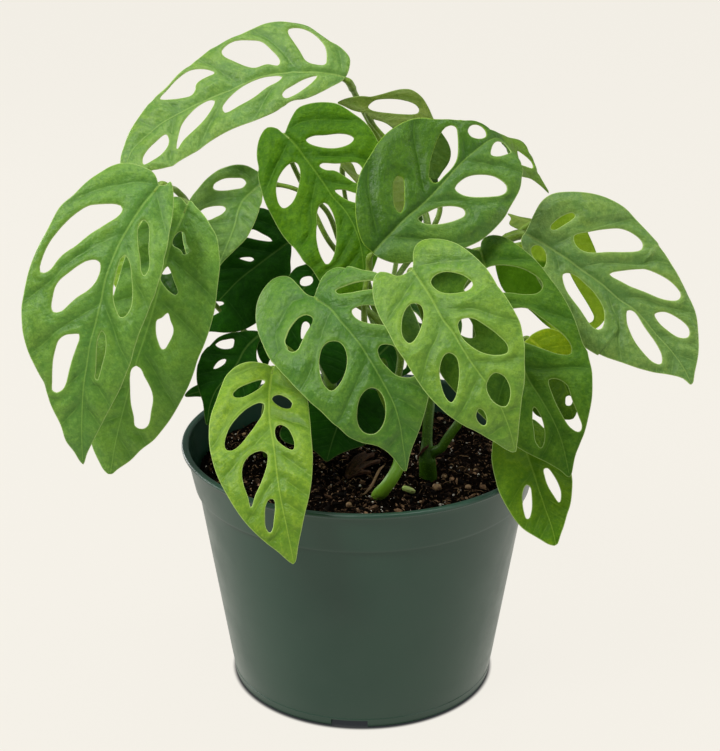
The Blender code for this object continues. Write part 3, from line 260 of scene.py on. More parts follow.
# Each leaf: midrib (u, v, depth), roll, cup, fold, outline and holes in the
# drawing view. Where a leaf passes behind another its outline is completed.
LEAVES = {
"leaf_01": dict(mid=[(346,77,58),(327,73,56),(293,72,52),(260,77,47),(228,91,41),(193,106,34),(160,125,25),(133,150,15),(123,176,8)],
  roll=(-38,-36,-28), cup=1.5, fold=2.5,
  edge=[(346,77),(349.5,67),(349.5,57.5),(342.5,49),(332,42),(318,34),(308,27),(293,22.7),(277,22),(265,24),(250,30),(230,37.5),(210,48),(193,62),(180,73),(167,86),(151,100),(141,113),(130,131),(124,147),(120.3,162),(122.5,179),(129,178),(140,175),(152,170.5),(160,169.7),(170,167.5),(182,160),(197,151),(210,141),(227,132),(243,125),(260,117.5),(277,110),(292,102),(310,97),(327,89),(340,82.5)],
  holes=[[(289,29.7),(300,29),(312,34),(320,41),(325,48),(326.5,58),(325,64.7),(313,64),(306,61),(300,52.5),(293,42.5),(288,34)],
   [(221.7,50),(232.5,41),(250,40.5),(261,42.5),(270,50),(279.7,61),(278,66),(267,64.7),(255,68),(247,66.7),(233,61),(224,56)],
   [(160,98),(168,88),(180,77),(190,71),(203,70),(215,73.5),(208,77.5),(201,81),(196,85),(195,91),(191,96),(183,98),(172,99)],
   [(317,76),(312.5,82),(303,90),(293,97),(285,99.7),(282,97),(284,92.5),(293,86),(305,79)],
   [(282,77),(278,82),(268,87),(255,96),(240,105),(225,113),(222.5,108),(225,103),(233,94),(243,86),(257,79),(270,76)],
   [(214.7,101),(210,112),(202,123),(192,133),(183,142),(177,151),(177,145),(179,135),(182,125),(190,114),(200,105),(210,100)],
   [(166,134.7),(169,141),(167.5,148),(160,157),(150,163),(144,165),(143,160),(146,153),(155,143)]]),
"leaf_02": dict(mid=[(159.5,184,-38),(151,195,-42),(143,205,-46),(134,218,-50),(128,228,-53),(120,242,-56),(113,258,-60),(106,277,-63),(101,300,-66),(95,325,-69),(90,344,-71),(87,363,-72),(84,382,-73),(82,410,-73),(82,440,-72),(83,464.6,-70)],
  roll=(-14,-14,-12), cup=2.5, fold=3.0,
  edge=[(159.5,184.5),(167,184.5),(169.7,180.5),(172,184),(173.8,197.5),(173.4,209),(171.6,222.5),(168.7,237),(165.3,254.7),(160,277),(154.3,296),(151,303),(145.5,318),(139.7,332),(134.5,348),(131,362),(126.5,373),(120,389.5),(110,408.5),(101.5,425),(92.7,442),(87,454),(83.2,464.6),(79.5,460.6),(73.7,451),(66,441),(60.5,425),(51.7,408.5),(47.3,398),(43.6,384),(37,370),(29.7,354),(25.3,340),(22.6,325),(21.9,309),(23.8,296),(26.7,281),(30.4,266.5),(37,250),(44.3,236),(51.7,222.5),(59,209),(68,200),(78,191),(88,181),(100,172),(110,165.6),(120.6,162.6),(131,163),(142.6,167),(151.4,171),(155.8,176)],
  holes=[[(120.6,205.6),(122.5,210),(118,216),(109,222),(100,228),(91,233.5),(82.5,240),(74,247),(65,253),(57.5,260.6),(51.7,269),(44,273),(40,271),(41.4,263.5),(45,253),(52,240),(60.5,229),(69,220),(79.5,211.5),(90,206),(103,204.6),(115,204)],
   [(100,263),(100,271),(96,281),(88,290),(78,296.5),(69,304.6),(62,311),(54,312),(52,307.5),(53.4,297),(56,287),(60.5,280),(69,273),(78,266),(87,261),(96,260)],
   [(79,334),(79.5,338),(76,348),(72,359),(69,370),(65.6,384),(62,390),(56,393),(52,391),(52,382),(52.4,370),(53.4,359),(56,348),(59,340),(65.6,335),(74,334)],
   [(144,220),(148,224),(149,237),(149,255),(148,271),(144,276),(141.4,271),(140.4,258),(138,241.5),(138,230),(139.7,222.5)],
   [(125,255.5),(128.7,260.6),(131,269),(132,283),(132,299),(130.5,308),(124,317),(120,317),(116,309),(113.6,300),(113,290),(114.7,280),(117.7,268),(121,259)],
   [(102,331),(105,335),(106,342.5),(105,353),(102,364.5),(99,376),(97.4,380.4),(95.4,379),(96,370),(96.4,359),(97,347),(98.6,337)]]),
"leaf_03": dict(mid=[(187,205,-14),(181,220,-18),(172,240,-22),(164,268,-27),(157,295,-31),(147,330,-35),(137,360,-38),(126,400,-40),(116,440,-41),(110.3,474.8,-40)],
  roll=(-10,-10,-8), cup=2.5, fold=2.5,
  edge=[(187,204),(189.5,199),(195.4,206),(204,215),(211.5,227),(217,237),(219,249),(220.3,261),(219,277),(217,291),(214.5,309),(209,331),(204,345.5),(198,359),(194,372),(189,385),(181,401),(170.5,419),(162,430.5),(153,441),(141,450),(131,460),(118,469),(110.3,474.8),(104.5,471),(98.6,461),(92,446.7),(88,430),(86,405),(89,375),(96,343),(106,317),(117,285),(126,255),(138,228),(153,208),(168,197.5),(180,197)],
  holes=[[(180,231.6),(184,233),(186,243),(189.5,251),(184,254.7),(180.7,250),(172.7,244.5),(174,237)],
   [(167.5,266.5),(170.5,271),(174,281),(178,293),(175.6,295),(169,291),(163,284),(160.6,280),(161.7,274)],
   [(168,313),(170.5,320.5),(173.4,328),(173,334),(169,342.5),(164.6,349),(161.7,349),(158.7,342.5),(156.5,335),(156,326),(157,320),(161.7,318)],
   [(136,366),(141,369),(144,376),(149,385),(152,392),(153,400),(151,411.5),(149,423),(145.5,428),(140,429),(135,426),(134,417),(131,403),(130,388),(130,376),(131.6,369)]]),
"leaf_04": dict(mid=[(258.5,186,36),(250,193,33),(243,200,30),(239,208,27),(235.5,222,23),(229,240,17),(219,264,10),(205,292,4)],
  roll=(-16,-12,-8), cup=2.0, fold=3.5,
  edge=[(260,186),(263,180),(262.5,175),(257.5,171.5),(254,169.5),(248,166.5),(240,165),(230,166),(220,169),(212,174),(205,180),(200,186),(195,192),(190.3,198.5),(185,208),(182,220),(182,234),(185,250),(191,266),(198,281),(205,292),(212,281),(221,264.5),(233,252),(240,245),(246.5,238),(251,230),(255,222),(258.5,213),(261,205),(262.5,197),(262,190)],
  holes=[[(214,184),(220,180),(233,178),(243,179),(246,183),(242,188),(230,190),(217,190),(213,187.5)],
   [(198,213),(203,209),(210,206.5),(218,205.6),(224,206.5),(226,209),(223,213),(216,217),(210,220),(203,221),(197,218)]]),
"leaf_05": dict(mid=[(283.5,133,18),(293,142,15),(303,155,12),(313,168,8),(323,182,4),(333,197,0),(343.6,208.6,-4),(352,222,-8),(359,240,-13),(363,262,-18),(362,291,-23)],
  roll=(8,8,6), cup=2.5, fold=2.5,
  edge=[(284,133.5),(287.5,126),(291.7,117),(298,108),(310,103.5),(325,102.5),(340,105),(354.5,114.5),(369,127),(379,143.5),(385,160),(388,180),(388,200),(386,220),(382,242),(375,265),(368,281),(362,291),(356,296),(347,297),(338,296),(328,291),(318.6,280),(304,262),(290,244),(276,224),(266,205),(262,193),(258,177),(257,160),(258,143),(262,133),(267,127.5),(273,127),(278,128.5)],
  holes=[[(306,140),(313,136),(325,135),(340,134),(350,136),(354,139),(350,144),(338,147.5),(325,147.5),(313,145),(308,142.5)],
   [(319.5,166),(321,163.5),(327,163),(335,163.5),(347,163),(357,163),(362,168),(362,180),(358,183.5),(350,180),(342,174.5),(334,170.5),(326,170)],
   [(335,190.5),(343,190),(352,192.5),(360,196),(362,201),(357,203),(348,200.5),(340,195.5)],
   [(292,162.5),(296,162.5),(299.5,168),(300,178),(298.5,187),(295,198),(290,205),(284,208.3),(279.5,205),(277,197),(276.5,188),(279,178),(285,168)],
   [(319,207),(323,203),(327,204),(331,210),(335,221),(336.4,235),(335,250),(331.5,260),(327,264.5),(322,258),(318,247),(316.4,234),(317,219)]]),
"leaf_06": dict(mid=[(373,253,-36),(388.5,236,-32),(405,219,-27),(425,202,-21),(444,182,-15),(461,163,-9),(478,148.5,-3),(490,140,3),(499,138.5,9),(509,148,15),(520,164,19),(534,180,22),(549.7,194,24)],
  side=[(0,-0.7,0.22,0.68),(0.6,-0.7,0.22,0.68),(0.71,-0.76,0.3,0.58),(0.78,-0.4,0.6,0.66),(0.85,0.2,0.6,0.75),(1,0.5,0.5,0.7)], cup=1.5, fold=2.5,
  edge=[(371,251),(364,245),(358,231),(355,209),(357,185),(364,165),(374,148.5),(388.5,131.5),(405,121.5),(422,117.5),(434.5,118.5),(449,118.4),(471,121),(482,125),(493,131),(505,136.3,1),(519,140,1),(529,151,1),(534,163,1),(541,177.6,1),(549.7,194,1),(541,186,1),(531.5,179,1),(520.6,175.6,1),(99.5,-7,2),(94,-11,2),(520.6,165),(520.6,180),(516,197),(507,214),(495,228.5),(480.6,240.6),(465,248),(450,254),(430,260),(413,262),(398,263.6),(384,260),(376,256)],
  crease=0.70,
  holes=[[(398,176),(402.5,177.6),(404,192),(403.5,207),(400,213),(395,208),(393,194.5),(394,181)],
   [(446,127),(452,125),(456,127),(457.5,134),(457.5,156),(454,165),(444,176),(436,183),(430,180),(430,165),(434.5,148.5),(440,135)],
   [(467.5,132),(470,126.5),(477,125.5),(484,130),(486,136),(480.6,139),(471,137)],
   [(491,155),(492,147),(496,142),(501,142),(86,-3.6,2),(87,-6.5,2),(83,-8.8,2),(499,156.5)],
   [(455,188.5),(463.6,179),(480.6,175),(495,177.6),(506,187),(505,193),(490,197),(473,197),(461,194)],
   [(418,219),(425,214),(437,208),(451.5,206),(463.6,209),(465,215),(456,220),(442,223.6),(425,223.6)],
   [(517,151,1),(525,156,1),(532,163,1),(533,168,1),(526,166.5,1),(520,163,1)]]),
"leaf_08": dict(mid=[(366,112.5,62),(376,117,63),(390,124,63),(408,136,62),(425,153,60),(436,180,56)],
  roll=(-30,-30,-25), cup=-2.0, fold=0.5,
  edge=[(366,112.5),(360,112),(352,110),(344,106),(337,102.5),(346,98.5),(355,96.5),(364,96),(372,96.5),(380,94.5),(388.5,92),(397,90),(405,89),(411,89.5),(417,92.5),(423,98),(428,106),(432,115),(437,125),(442,133),(448,142),(451,152),(449,162),(443,171),(436,180),(428,176),(418,166),(408,150),(400,136),(391,126.5),(385,122.5),(379,120.5),(372,118.5)],
  holes=[[(368,107),(371,103),(376,100),(384,99),(393,99),(402,100),(410,102),(416,105),(419,109),(418,113),(412,114.5),(398,114),(388,113),(379,112),(371,110)]]),
"leaf_09": dict(mid=[(313.5,295.5,-46),(318,300,-49),(330,308,-54),(340,320.5,-59),(352,334,-63),(362.5,348,-67),(373,365,-71),(383,382.5,-74),(393.5,403,-77),(400,425,-79),(403,445,-79),(405,458,-78),(405.4,472.2,-76)],
  roll=(6,6,4), cup=2.0, fold=3.0,
  edge=[(313.5,296),(306.6,294),(299,286),(290,277.5),(283,276),(273,279),(263,289.5),(257.5,301.5),(256,315),(258,331),(263,345),(272,362),(284,375),(296,388),(308,400),(320,410.5),(331.5,422),(343,432),(354,440),(363,443.5),(376,445.6),(386,451),(394,459),(400,467),(405.4,472.2),(409.7,455.5),(417,436),(423,419),(427,404),(429.5,388),(430,370),(427,350),(421,330),(413,310),(403,293),(390,280),(376,272.5),(362.5,270),(350.5,267),(338,267),(328,271),(321,279),(317.5,288)],
  holes=[[(336,291),(344,287),(356,283),(372,281),(382,282),(385,285),(380,288.5),(373,289),(362.5,290.5),(349,293),(338,294)],
   [(352,310),(359,306),(370,305),(380,307),(386,313),(388,320),(386,325),(380,324.5),(368,323),(360,320.5),(354,316)],
   [(312.6,318),(307,315),(300.5,317),(292,326),(287,336),(286,345),(17,-24.25,2),(297,350),(302,341),(307,331),(312.6,322)],
   [(328,342),(338,341.5),(344.5,348),(347,362),(344.5,374),(338,386),(331.5,391),(325,386),(320,372),(319.5,358),(322,348)],
   [(378,350),(380.6,345.5),(388,344.6),(395,347),(404,354),(412,366),(415,375),(409,377.5),(397,375.5),(387,367),(380,358)],
   [(371,388),(378,390),(383,397),(385.4,408),(384,421),(379,430),(373,434),(365,433),(359,426),(357,414.5),(358.6,402),(364,392)]]),
"leaf_10": dict(mid=[(412,269,-62),(423,285,-69),(432.7,300.5,-75),(442,318,-81),(452,331,-85),(461,346,-89),(471,362,-92),(482,377,-95),(494,394,-97),(503.5,413,-98),(511,434,-98),(515.3,452.6,-96)],
  roll=(6,5,2), cup=2.5, fold=3.0,
  edge=[(411,270),(398,276.6),(389,273),(379,272),(374,277.6),(372.4,289),(374,302),(381,320),(390.6,337),(400,354),(413.6,375),(427,394),(442,409.6),(459.5,423),(477,432.5),(494,442),(508,450.5),(515.3,452.6),(517,444),(519,425),(521.7,400),(525,371),(524.5,342.6),(520.7,323.5),(513,308),(503.5,293),(492,276),(478.6,260),(465,249),(452,242),(436.5,238.7),(423,240),(415.5,246),(413,254.6),(413.2,263)],
  holes=[[(431,282),(434.6,276),(444,272),(456,273),(467,277.6),(473,284),(469,290),(457.6,293),(444,293),(435.6,289)],
   [(411.7,304),(420,305),(423.5,314),(422,325),(416,339),(409.7,344),(404,339),(402,325),(405,312)],
   [(458,325),(461,320),(473,319),(484,325),(498,335),(507,344.5),(507.7,352),(498,355),(484,353),(471,346),(462,337)],
   [(449,353),(456,357),(459,369),(458,385),(455,398),(451,402.5),(445,396),(441,383),(440,367.5),(444,356)],
   [(495,373),(503.5,376),(509,385),(510,396),(506,406),(500.6,406),(492,400),(487,390),(486.6,385),(490,377)],
   [(478.6,408.6),(483,410.5),(486.6,419),(485,425.5),(480.5,424),(476,416)]]),
"leaf_11": dict(mid=[(273.5,365.5,-48),(271,378,-53),(269.6,391,-60),(269,405,-67),(269.6,419,-73),(271.7,434,-79),(274,448,-84),(277,474,-91),(280.4,497,-96),(287,529,-101),(294,564.4,-103)],
  roll=(0,0,0), cup=2.5, fold=3.0,
  edge=[(273.5,366.5),(266,364),(250,361.6),(237,365),(226,375),(221.5,386),(216,402),(211,416),(209,430),(210,450),(215,470),(223,488),(234,507),(247,524.5),(263,540.5),(279,553),(288,561),(294,564.4),(299,542),(304,518),(309,497),(312,477),(312.7,458),(311.5,438),(310,419),(308,402),(304,387),(297,375),(288,366),(280,362.5),(276,363.5)],
  holes=[[(233,395),(239,388),(250,383),(261,380),(265,381),(261,387),(252,393),(241,398),(234,398)],
   [(264,404),(263,413),(256.5,424),(248.6,435),(239,446),(231,451),(225.4,449),(225,440),(229,429),(239,416),(250,406.5),(260,402.5)],
   [(267,454),(267.4,462),(264.5,473.5),(260,485),(255,496),(251,508),(248,497),(244,486),(242,473.5),(244.6,462),(252,454),(261,451)],
   [(274,500),(275,507),(274,518),(272.5,529),(270,533),(266,528),(265,516.5),(266,505),(270,499)],
   [(274,396),(280,394.6),(288,398),(292,402.5),(290,408),(283.6,408),(276,404),(272,399)],
   [(280,425),(287,428),(291.6,435),(294.5,445),(293,450),(285,447),(277,440),(275,434),(276,427)]]),
"leaf_12": dict(mid=[(526.6,234,8),(546,245,6),(565,257.5,4),(585,272,2),(602,284,0),(619,299,-2),(636,311,-4),(655,333,-8),(672,352,-12),(684,369,-16),(692,385.5,-20)],
  roll=(22,22,20), cup=3.0, fold=3.5,
  edge=[(525.5,232),(531.5,219),(541,202),(551,194.5),(568,191.6),(590,193),(609,199),(626,209),(643,226),(660,248),(674.5,270),(686.6,291.5),(695,311),(698.7,330),(698.7,350),(695,371),(692,385.5),(684,379),(672,375),(650,371),(626,364),(604,356),(585,347),(572,337),(560,322),(549,303),(539,283),(529,262),(522.5,246),(521,238)],
  holes=[[(551,226),(558,219),(566,214.5),(573,213),(575,216),(570,221),(563,225.5),(554.5,230),(550.5,229)],
   [(574,236),(588,232.5),(602,230),(619,228.5),(633,233),(643,242),(642,249),(626,251.5),(607,252),(588,252.5),(579,249),(574,242)],
   [(609.5,274.5),(621,271),(638,269),(655,272.6),(672,283),(680.5,294),(678,300),(662,299),(643,291.5),(623.6,283)],
   [(654.6,314.5),(665,312),(679,319),(689,329),(688,337),(679,337.5),(666,329),(657.5,320.6)],
   [(563,274.5),(568,273),(576,276),(586,285),(596,296),(603,309),(604,321),(601,329),(594.5,328.6),(585,318),(573,301),(565,287)],
   [(627,311),(633,311),(643,325),(655,342),(662,357),(661,364),(653,362),(640.5,350),(631,335),(626.5,321)],
   [(531.5,248),(536,245),(542,247),(546,254),(546,263),(543.5,267.5),(538,262),(532,254)]]),
"leaf_13": dict(mid=[(480,249,-14),(492,285,-27),(505,318,-37),(516,348,-45),(528,378,-52),(541,399,-58),(553,420,-63),(562,442,-67),(569.5,476,-70)],
  roll=(8,8,6), cup=2.5, fold=3.0,
  edge=[(479,250),(465,248),(450,250),(437,258),(429,271),(426,288),(427,308),(429,328),(433,350),(441,374),(457,394),(477,411.5),(500,434),(517,447),(532,455.5),(547.5,463),(561,471),(569.5,478),(576,454),(584,434),(590,410),(592.5,390),(592,371),(588,352),(583,343),(574,318),(565,299),(553,281),(538,262),(517,245),(503.5,237),(490,235.5),(482,240)],
  holes=[[(464,289.5),(466,283),(474,274),(485,268),(497,265.5),(513,267),(528,272),(540,279.5),(543,286),(538,292.5),(524.5,294),(509,292.5),(495,293),(478,294),(468,293)],
   [(507,311),(516,308),(528,308.3),(540,317),(553,327),(565,337),(571,346),(570.5,354),(559,354),(546,350),(532,345),(520,340),(511,330),(506,320)],
   [(549,380),(555,378.6),(566.6,385),(572,400),(578,415),(582,427),(579,432),(570,427),(561,413),(553,396)],
   [(534,407),(540,415),(544,427),(544,442),(541,448),(536,442),(534,429),(532.5,417)],
   [(450,318),(458,314),(466,316),(471,322),(474,330),(475,337),(470,338),(463,336),(455,330),(450,324)]]),
"leaf_14": dict(mid=[(519,431,-34),(524,444,-40),(528,457,-46),(534,474,-53),(541,496,-63),(547.5,515,-69),(552,528,-73),(556,545.4,-77)],
  roll=(8,8,6), cup=2.5, fold=2.5,
  edge=[(519,431),(513,424.5),(503,425),(496,432),(492.5,443),(491.5,455),(494,474),(499,492),(509,510.6),(517.6,523),(529,533),(542.5,541),(550,545),(556.6,545.4),(561,534),(566,519),(571,502),(572.5,486),(571.5,473),(566,457),(556,441),(544,428),(533,419),(525,419.5),(520.5,424)],
  holes=[[(526.7,485),(530,487),(531.7,497),(531.7,509),(529,518.5),(526.7,519),(524,512),(522.6,502),(523,492)],
   [(544,469),(547.5,468),(554,476),(559,486),(561,494),(559.4,503),(554,496),(548,486),(545,477)]]),
"leaf_15": dict(mid=[(291,241,58),(283,246,56),(262,262,52),(240,279,48),(218,301.5,44),(200,320,40),(186,334,37)],
  roll=(-20,-20,-16), cup=2.5, fold=3.0,
  edge=[(291,241),(288,230),(281,219),(271,211.5),(258,208),(246,212),(231,225),(215,245),(203,268),(194,292),(187,314),(183,334),(196,333),(210,331.5),(225,332.5),(239,331),(247,328),(257,322),(268,312),(279,299),(287,285),(291,272),(290.5,262),(291.5,252)],
  holes=[[(272,241),(262,240.5),(250,238),(243,236),(245,231),(253,229.5),(262,233.5),(270,238)],
   [(239.5,258.3),(246,257),(252,257.5),(254,259.5),(251,261.5),(245,260.5)],
   [(205,303),(214,301.5),(223,302),(224,304),(218.5,306.5),(221.5,310.5),(217,313.5),(212,316),(205,315)]]),
"leaf_16": dict(mid=[(322,262,14),(309,280,10),(296,302,6),(283,327,2),(273,347,-1),(267,366,-4)],
  roll=(-8,-8,-8), cup=2.0, fold=2.5,
  edge=[(321,260),(312,262),(303,265),(296,267.5),(290.5,273.5),(283,285),(272,302),(262,320),(257.5,337),(257,350),(261,361),(267,366),(271,358),(277,357),(285,357),(293,355),(302,349),(311,335),(318,318),(323,300),(326,284),(327,270)],
  holes=[[(300,281.5),(302,278),(307,276.3),(311.5,276.5),(313,281),(310.5,284.5),(304,286),(300.5,284.5)],
   [(303,323),(306,321.5),(310,325),(308.5,330),(304,338),(301.5,339),(301,331)]]),
"leaf_17": dict(mid=[(262,333,-14),(250,343,-19),(243,352,-23),(238,362,-27),(228,376,-32),(216,390,-37),(210,405,-40),(207,426,-42)],
  roll=(-8,-8,-8), cup=2.0, fold=2.5,
  edge=[(262,333.5),(257,331),(249,330.5),(240,331.5),(226,334),(213,342),(203,352),(197.5,365),(196.5,378),(199,391),(203,403),(207,426),(214,420),(224,414),(238,406),(250,398),(259,388),(262.5,377),(259,366),(256.5,354),(260,340)],
  holes=[[(215.5,344.5),(219,341.5),(226,339.5),(234,339),(234,343),(232.5,347.5),(227,349),(220,348)],
   [(213.5,369),(216,364),(220.5,360),(226,359),(225,363),(220,367)]]),
"leaf_18": dict(mid=[(236,388,16),(222,388.5,12),(208,390,8),(195,393,4),(184.5,396.3,0)],
  roll=(-30,-30,-30), cup=1.0, fold=1.0,
  edge=[(237,388),(232,381),(222,379.5),(210,381),(198,384.5),(190,389),(184.5,396.3),(198,396.5),(212,397.5),(224,397),(233,394)],
  holes=[]),
"leaf_19": dict(mid=[(350,399,6),(346,407,0),(340,420,-10),(333,439,-21),(326.4,462,-32)],
  roll=(6,6,6), cup=2.0, fold=2.0,
  edge=[(350,398.5),(343,393.5),(334,394),(318,398),(300,408),(287,420),(279.5,433),(283,441),(296,446),(312,449.5),(320,456),(326.4,462),(333,458),(340,454),(350,450),(362,446),(374,440),(384,430),(389,415),(386,400),(376,390),(362,389),(354,393)],
  holes=[]),
"leaf_20": dict(mid=[(398,333,14),(389,345,10),(375,358,2),(355,371,-8),(333,384.5,-17)],
  roll=(-14,-14,-14), cup=2.0, fold=2.5,
  edge=[(400,332),(394,327),(382,326),(366,329),(346,334),(330,341),(319,352),(318.5,361),(323,371),(333,384.5),(346,375.5),(360,379),(376,380),(392,378),(405,375),(415,367),(421,355),(420,342),(411,334)],
  holes=[[(379.5,360),(384,358.5),(387.5,365),(387,370.5),(382,366)],
   [(402,357),(405,357.5),(407,362),(405.5,368),(402.5,369.5),(400.5,363)]]),
"leaf_21": dict(mid=[(534,224,40),(538,236,40),(546,252,39),(558,270,37),(575,292,34),(598,318,29)],
  roll=(-20,-20,-20), cup=-1.5, fold=0.5,
  edge=[(534,224),(540,215),(550,210),(565,209),(580,216),(588,233),(596,252),(603,276),(607,300),(604,321),(588,333),(570,337),(548,327),(529,310),(513,299),(503,290),(497,275),(495,260),(501,249),(512,244),(526,243),(531,236)],
  holes=[[(556,268),(561,262),(567,266),(571,276),(590,308),(594,318),(590,323),(583,319),(571,301),(560,284)]]),
"leaf_22": dict(mid=[(529,338,-8),(540,347,-10),(552,360,-13),(562,378,-17),(569,398,-22),(573,419,-27)],
  roll=(10,10,10), cup=2.0, fold=1.5,
  edge=[(528,338.5),(531,335),(538,331),(549,328.3),(560,332),(570,343),(577,362),(579,385),(578.5,402),(577,412),(573,419),(563,419.5),(550,418),(541,417.5),(534,413),(528,398),(524,378),(522,358),(523,343)],
  holes=[[(566,397),(569,395.5),(572,397),(572.5,402),(570,405.5),(566,405),(565.5,400)]]),
"leaf_23": dict(mid=[(545,232,55),(532,224,57),(519,219,59),(507,214,61)],
  roll=(-30,-30,-30), cup=1.0, fold=1.0,
  edge=[(546,232),(540,222),(530,218.5),(519,216.5),(507,213.5),(511,218),(509,224),(515,228),(522,230.5),(533,233)],
  holes=[]),
"leaf_26": dict(mid=[(343,167,38),(356,177,39),(372,189,40),(390,203,40),(411,225,39)],
  roll=(-12,-12,-12), cup=-1.0, fold=0.5,
  edge=[(341,166.5),(340,162.5),(346,161.5),(352,163),(358.5,175),(366,173),(378,170),(392,170),(403,176),(411,190),(414,207),(411,225),(400,221),(386,213),(372,201),(360,187),(350,176)],
  holes=[]),
"leaf_24": dict(mid=[(426,342,38),(430,322,60),(433,306,84),(436,300,104),(439,302,120)],
  side=[(0,-1,.05,.12),(1,-1,.05,.12)], half=15.5, cup=3.0, fold=2.5),
"leaf_25": dict(mid=[(410,172,92),(409,188,108),(408,214,122),(408,250,132)],
  side=[(0,-1,0,0),(1,-1,0,0)], half=14, cup=2.0, fold=2.5),
"leaf_07": dict(mid=[(184,250,44),(172,250,43),(156,257,40),(141,270,36),(131,288,32),(124,312,27)],
  roll=(-10,-10,-8), cup=2.0, fold=1.5,
  edge=[(184,250),(187,240),(184,229),(172,222),(156,219.5),(142,221),(130,229),(121,243),(114,262),(112,280),(118,292),(120,304),(124,312),(138,317),(152,318.5),(164,313),(176,303),(184,290),(189,274),(188,260)],
  holes=[[(160,262),(168,260),(173,266),(171,273),(162,274),(157,268)]]),
}

# Stems: centre line in the drawing view (u, v, depth), foot first, and radii.
STEMS = {
"stem_main": dict(line=[(428,474,-17),(427,456,-15),(427.5,430,-12),(430,400,-8),(431,370,-4),(430,335,0)], r=(4.6,3.0)),
"stem_right": dict(line=[(441,448,-17),(449,436,-18),(459,422,-19),(468,402,-20),(474,374,-20)], r=(2.7,2.0)),
"stem_front": dict(line=[(378,496,-44),(388,484,-43),(397,470,-41),(400,455,-38),(402,435,-34),(404,412,-30),(406,392,-27)], r=(2.9,2.2)),
"stem_back": dict(line=[(380,436,22),(382,405,24),(384,370,27),(386,335,31),(388,305,35)], r=(3.6,2.6)),
"stem_left": dict(line=[(338,436,12),(335,412,12),(331,388,13),(327,362,14)], r=(3.2,2.4)),
}
# Leaf stalks: the stem and the fraction of its height where each one leaves
# it, points on the way (u, v, depth), and the radii at stem and blade.
STALKS = {
"01": ("stem_main", 1.00, [(431,300,8),(430,262,24),(426,217,40),(412,190,56),(398,168,68),(384,148,75),(368,119,77),(357,98,70)], 1.9, 1.4),
"02": ("stem_left", 0.34, [(302,374,44),(276,346,62),(250,308,70),(224,268,69),(206,240,61),(195,217,50),(186,201,35),(180,194,12),(174,189,-12),(167,187,-31)], 1.7, 1.4),
"03": ("stem_left", 0.80, [(308,352,34),(284,332,46),(254,316,55),(224,292,61),(205,262,60),(188,228,50),(178,214,36),(174,209,18),(172,207,2),(179,200,-8)], 1.6, 1.3),
"04": ("stem_back", 0.70, [(364,300,44),(341,246,46),(325,209,42),(298,190,42),(277,184.5,42)], 1.4, 1.1),
"05": ("stem_back", 0.84, [(368,296,34),(342,258,26),(327,238,18),(316,216,20),(302,184,24),(291,160,24)], 1.4, 1.1),
"06": ("stem_front", 0.62, [(390,412,-34),(374,372,-38),(365,330,-36),(365,292,-34),(369,270,-32)], 1.8, 1.5),
"08": ("stem_back", 1.00, [(402,270,52),(428,236,62),(440,208,68),(430,182,70),(408,160,70),(388,141,70),(373,124,70)], 1.5, 1.1),
"09": ("stem_front", 0.92, [(400,352,-22),(380,322,-20),(360,306,-26),(345,300,-34),(330,295,-42)], 1.7, 1.4),
"10": ("stem_main", 0.86, [(424,314,-16),(410,284,-46)], 1.7, 1.4),
"11": (None, (268,452,0), [(264,430,-12),(266,405,-30),(271,384,-42)], 1.8, 1.4),
"12": ("stem_main", 0.90, [(452,300,4),(478,262,10),(504,240,12)], 1.9, 2.0),
"13": ("stem_right", 1.00, [(476,330,-14),(476,285,-8),(477,262,-8)], 1.6, 1.3),
"14": ("stem_right", 0.62, [(488,400,-14),(506,412,-22)], 1.4, 1.1),
"15": ("stem_back", 0.46, [(364,352,52),(340,300,68),(312,256,70)], 1.5, 1.2),
"16": ("stem_left", 1.00, [(327,330,20),(327,292,22)], 1.3, 1.0),
"17": ("stem_left", 0.58, [(316,374,-2),(290,350,-6)], 1.3, 1.0),
"18": ("stem_left", 0.20, [(308,405,22),(262,388,24)], 1.2, 0.9),
"19": ("stem_back", 0.16, [(368,410,16)], 1.3, 1.0),
"20": ("stem_back", 0.34, [(396,362,20)], 1.3, 1.0),
"21": ("stem_main", 0.96, [(452,300,28),(486,262,38),(514,236,44)], 1.5, 1.2),
"22": ("stem_right", 0.80, [(490,366,-4),(512,348,0)], 1.3, 1.0),
"23": ("stem_back", 0.92, [(424,292,52),(470,252,66),(520,244,64)], 1.4, 1.1),
"24": ("stem_back", 0.60, [(410,356,36)], 1.4, 1.1),
"25": ("stem_back", 0.78, [(390,300,60),(400,240,84),(408,200,92)], 1.4, 1.1),
"26": ("stem_back", 0.66, [(376,310,48),(358,246,54),(345,196,50)], 1.3, 1.0),
"07": ("stem_left", 0.50, [(311,379,21),(282,357,36),(254,338,50),(224,314,57),(204,290,58),(192,266,51)], 1.4, 1.1),
}

# Studio light: name, place, aim, size in metres, power
WORLD = 0.20
FLOOR_GAIN = 0.90
LENS = 92.98
LIGHTS = [
    ("key", (-0.70, -0.80, 1.50), (0.0, 0.0, 0.16), (0.55, 0.55), 25.0),
    ("top", (0.20, 0.30, 1.50), (0.0, 0.0, 0.15), (0.9, 0.7), 11.0),
    ("fill", (1.10, -0.80, 0.70), (0.0, 0.0, 0.12), (0.8, 1.0), 3.5),
    ("strip_left", (-1.10, 0.25, 0.45), (0.0, 0.0, 0.08), (0.35, 0.9), 5.0),
    ("rim_left", (-0.78, 0.80, 0.30), (-0.05, 0.0, 0.06), (0.30, 0.5), 4.0),
    ("strip_right", (1.05, 0.30, 0.45), (0.0, 0.0, 0.08), (0.30, 0.9), 3.0),
]

# --------------------------------------------------------------------- helpers
rng = np.random.default_rng(7)


def lattice(n=64, seed=3):
    return np.random.default_rng(seed).random((n, n))


GRAIN = lattice()


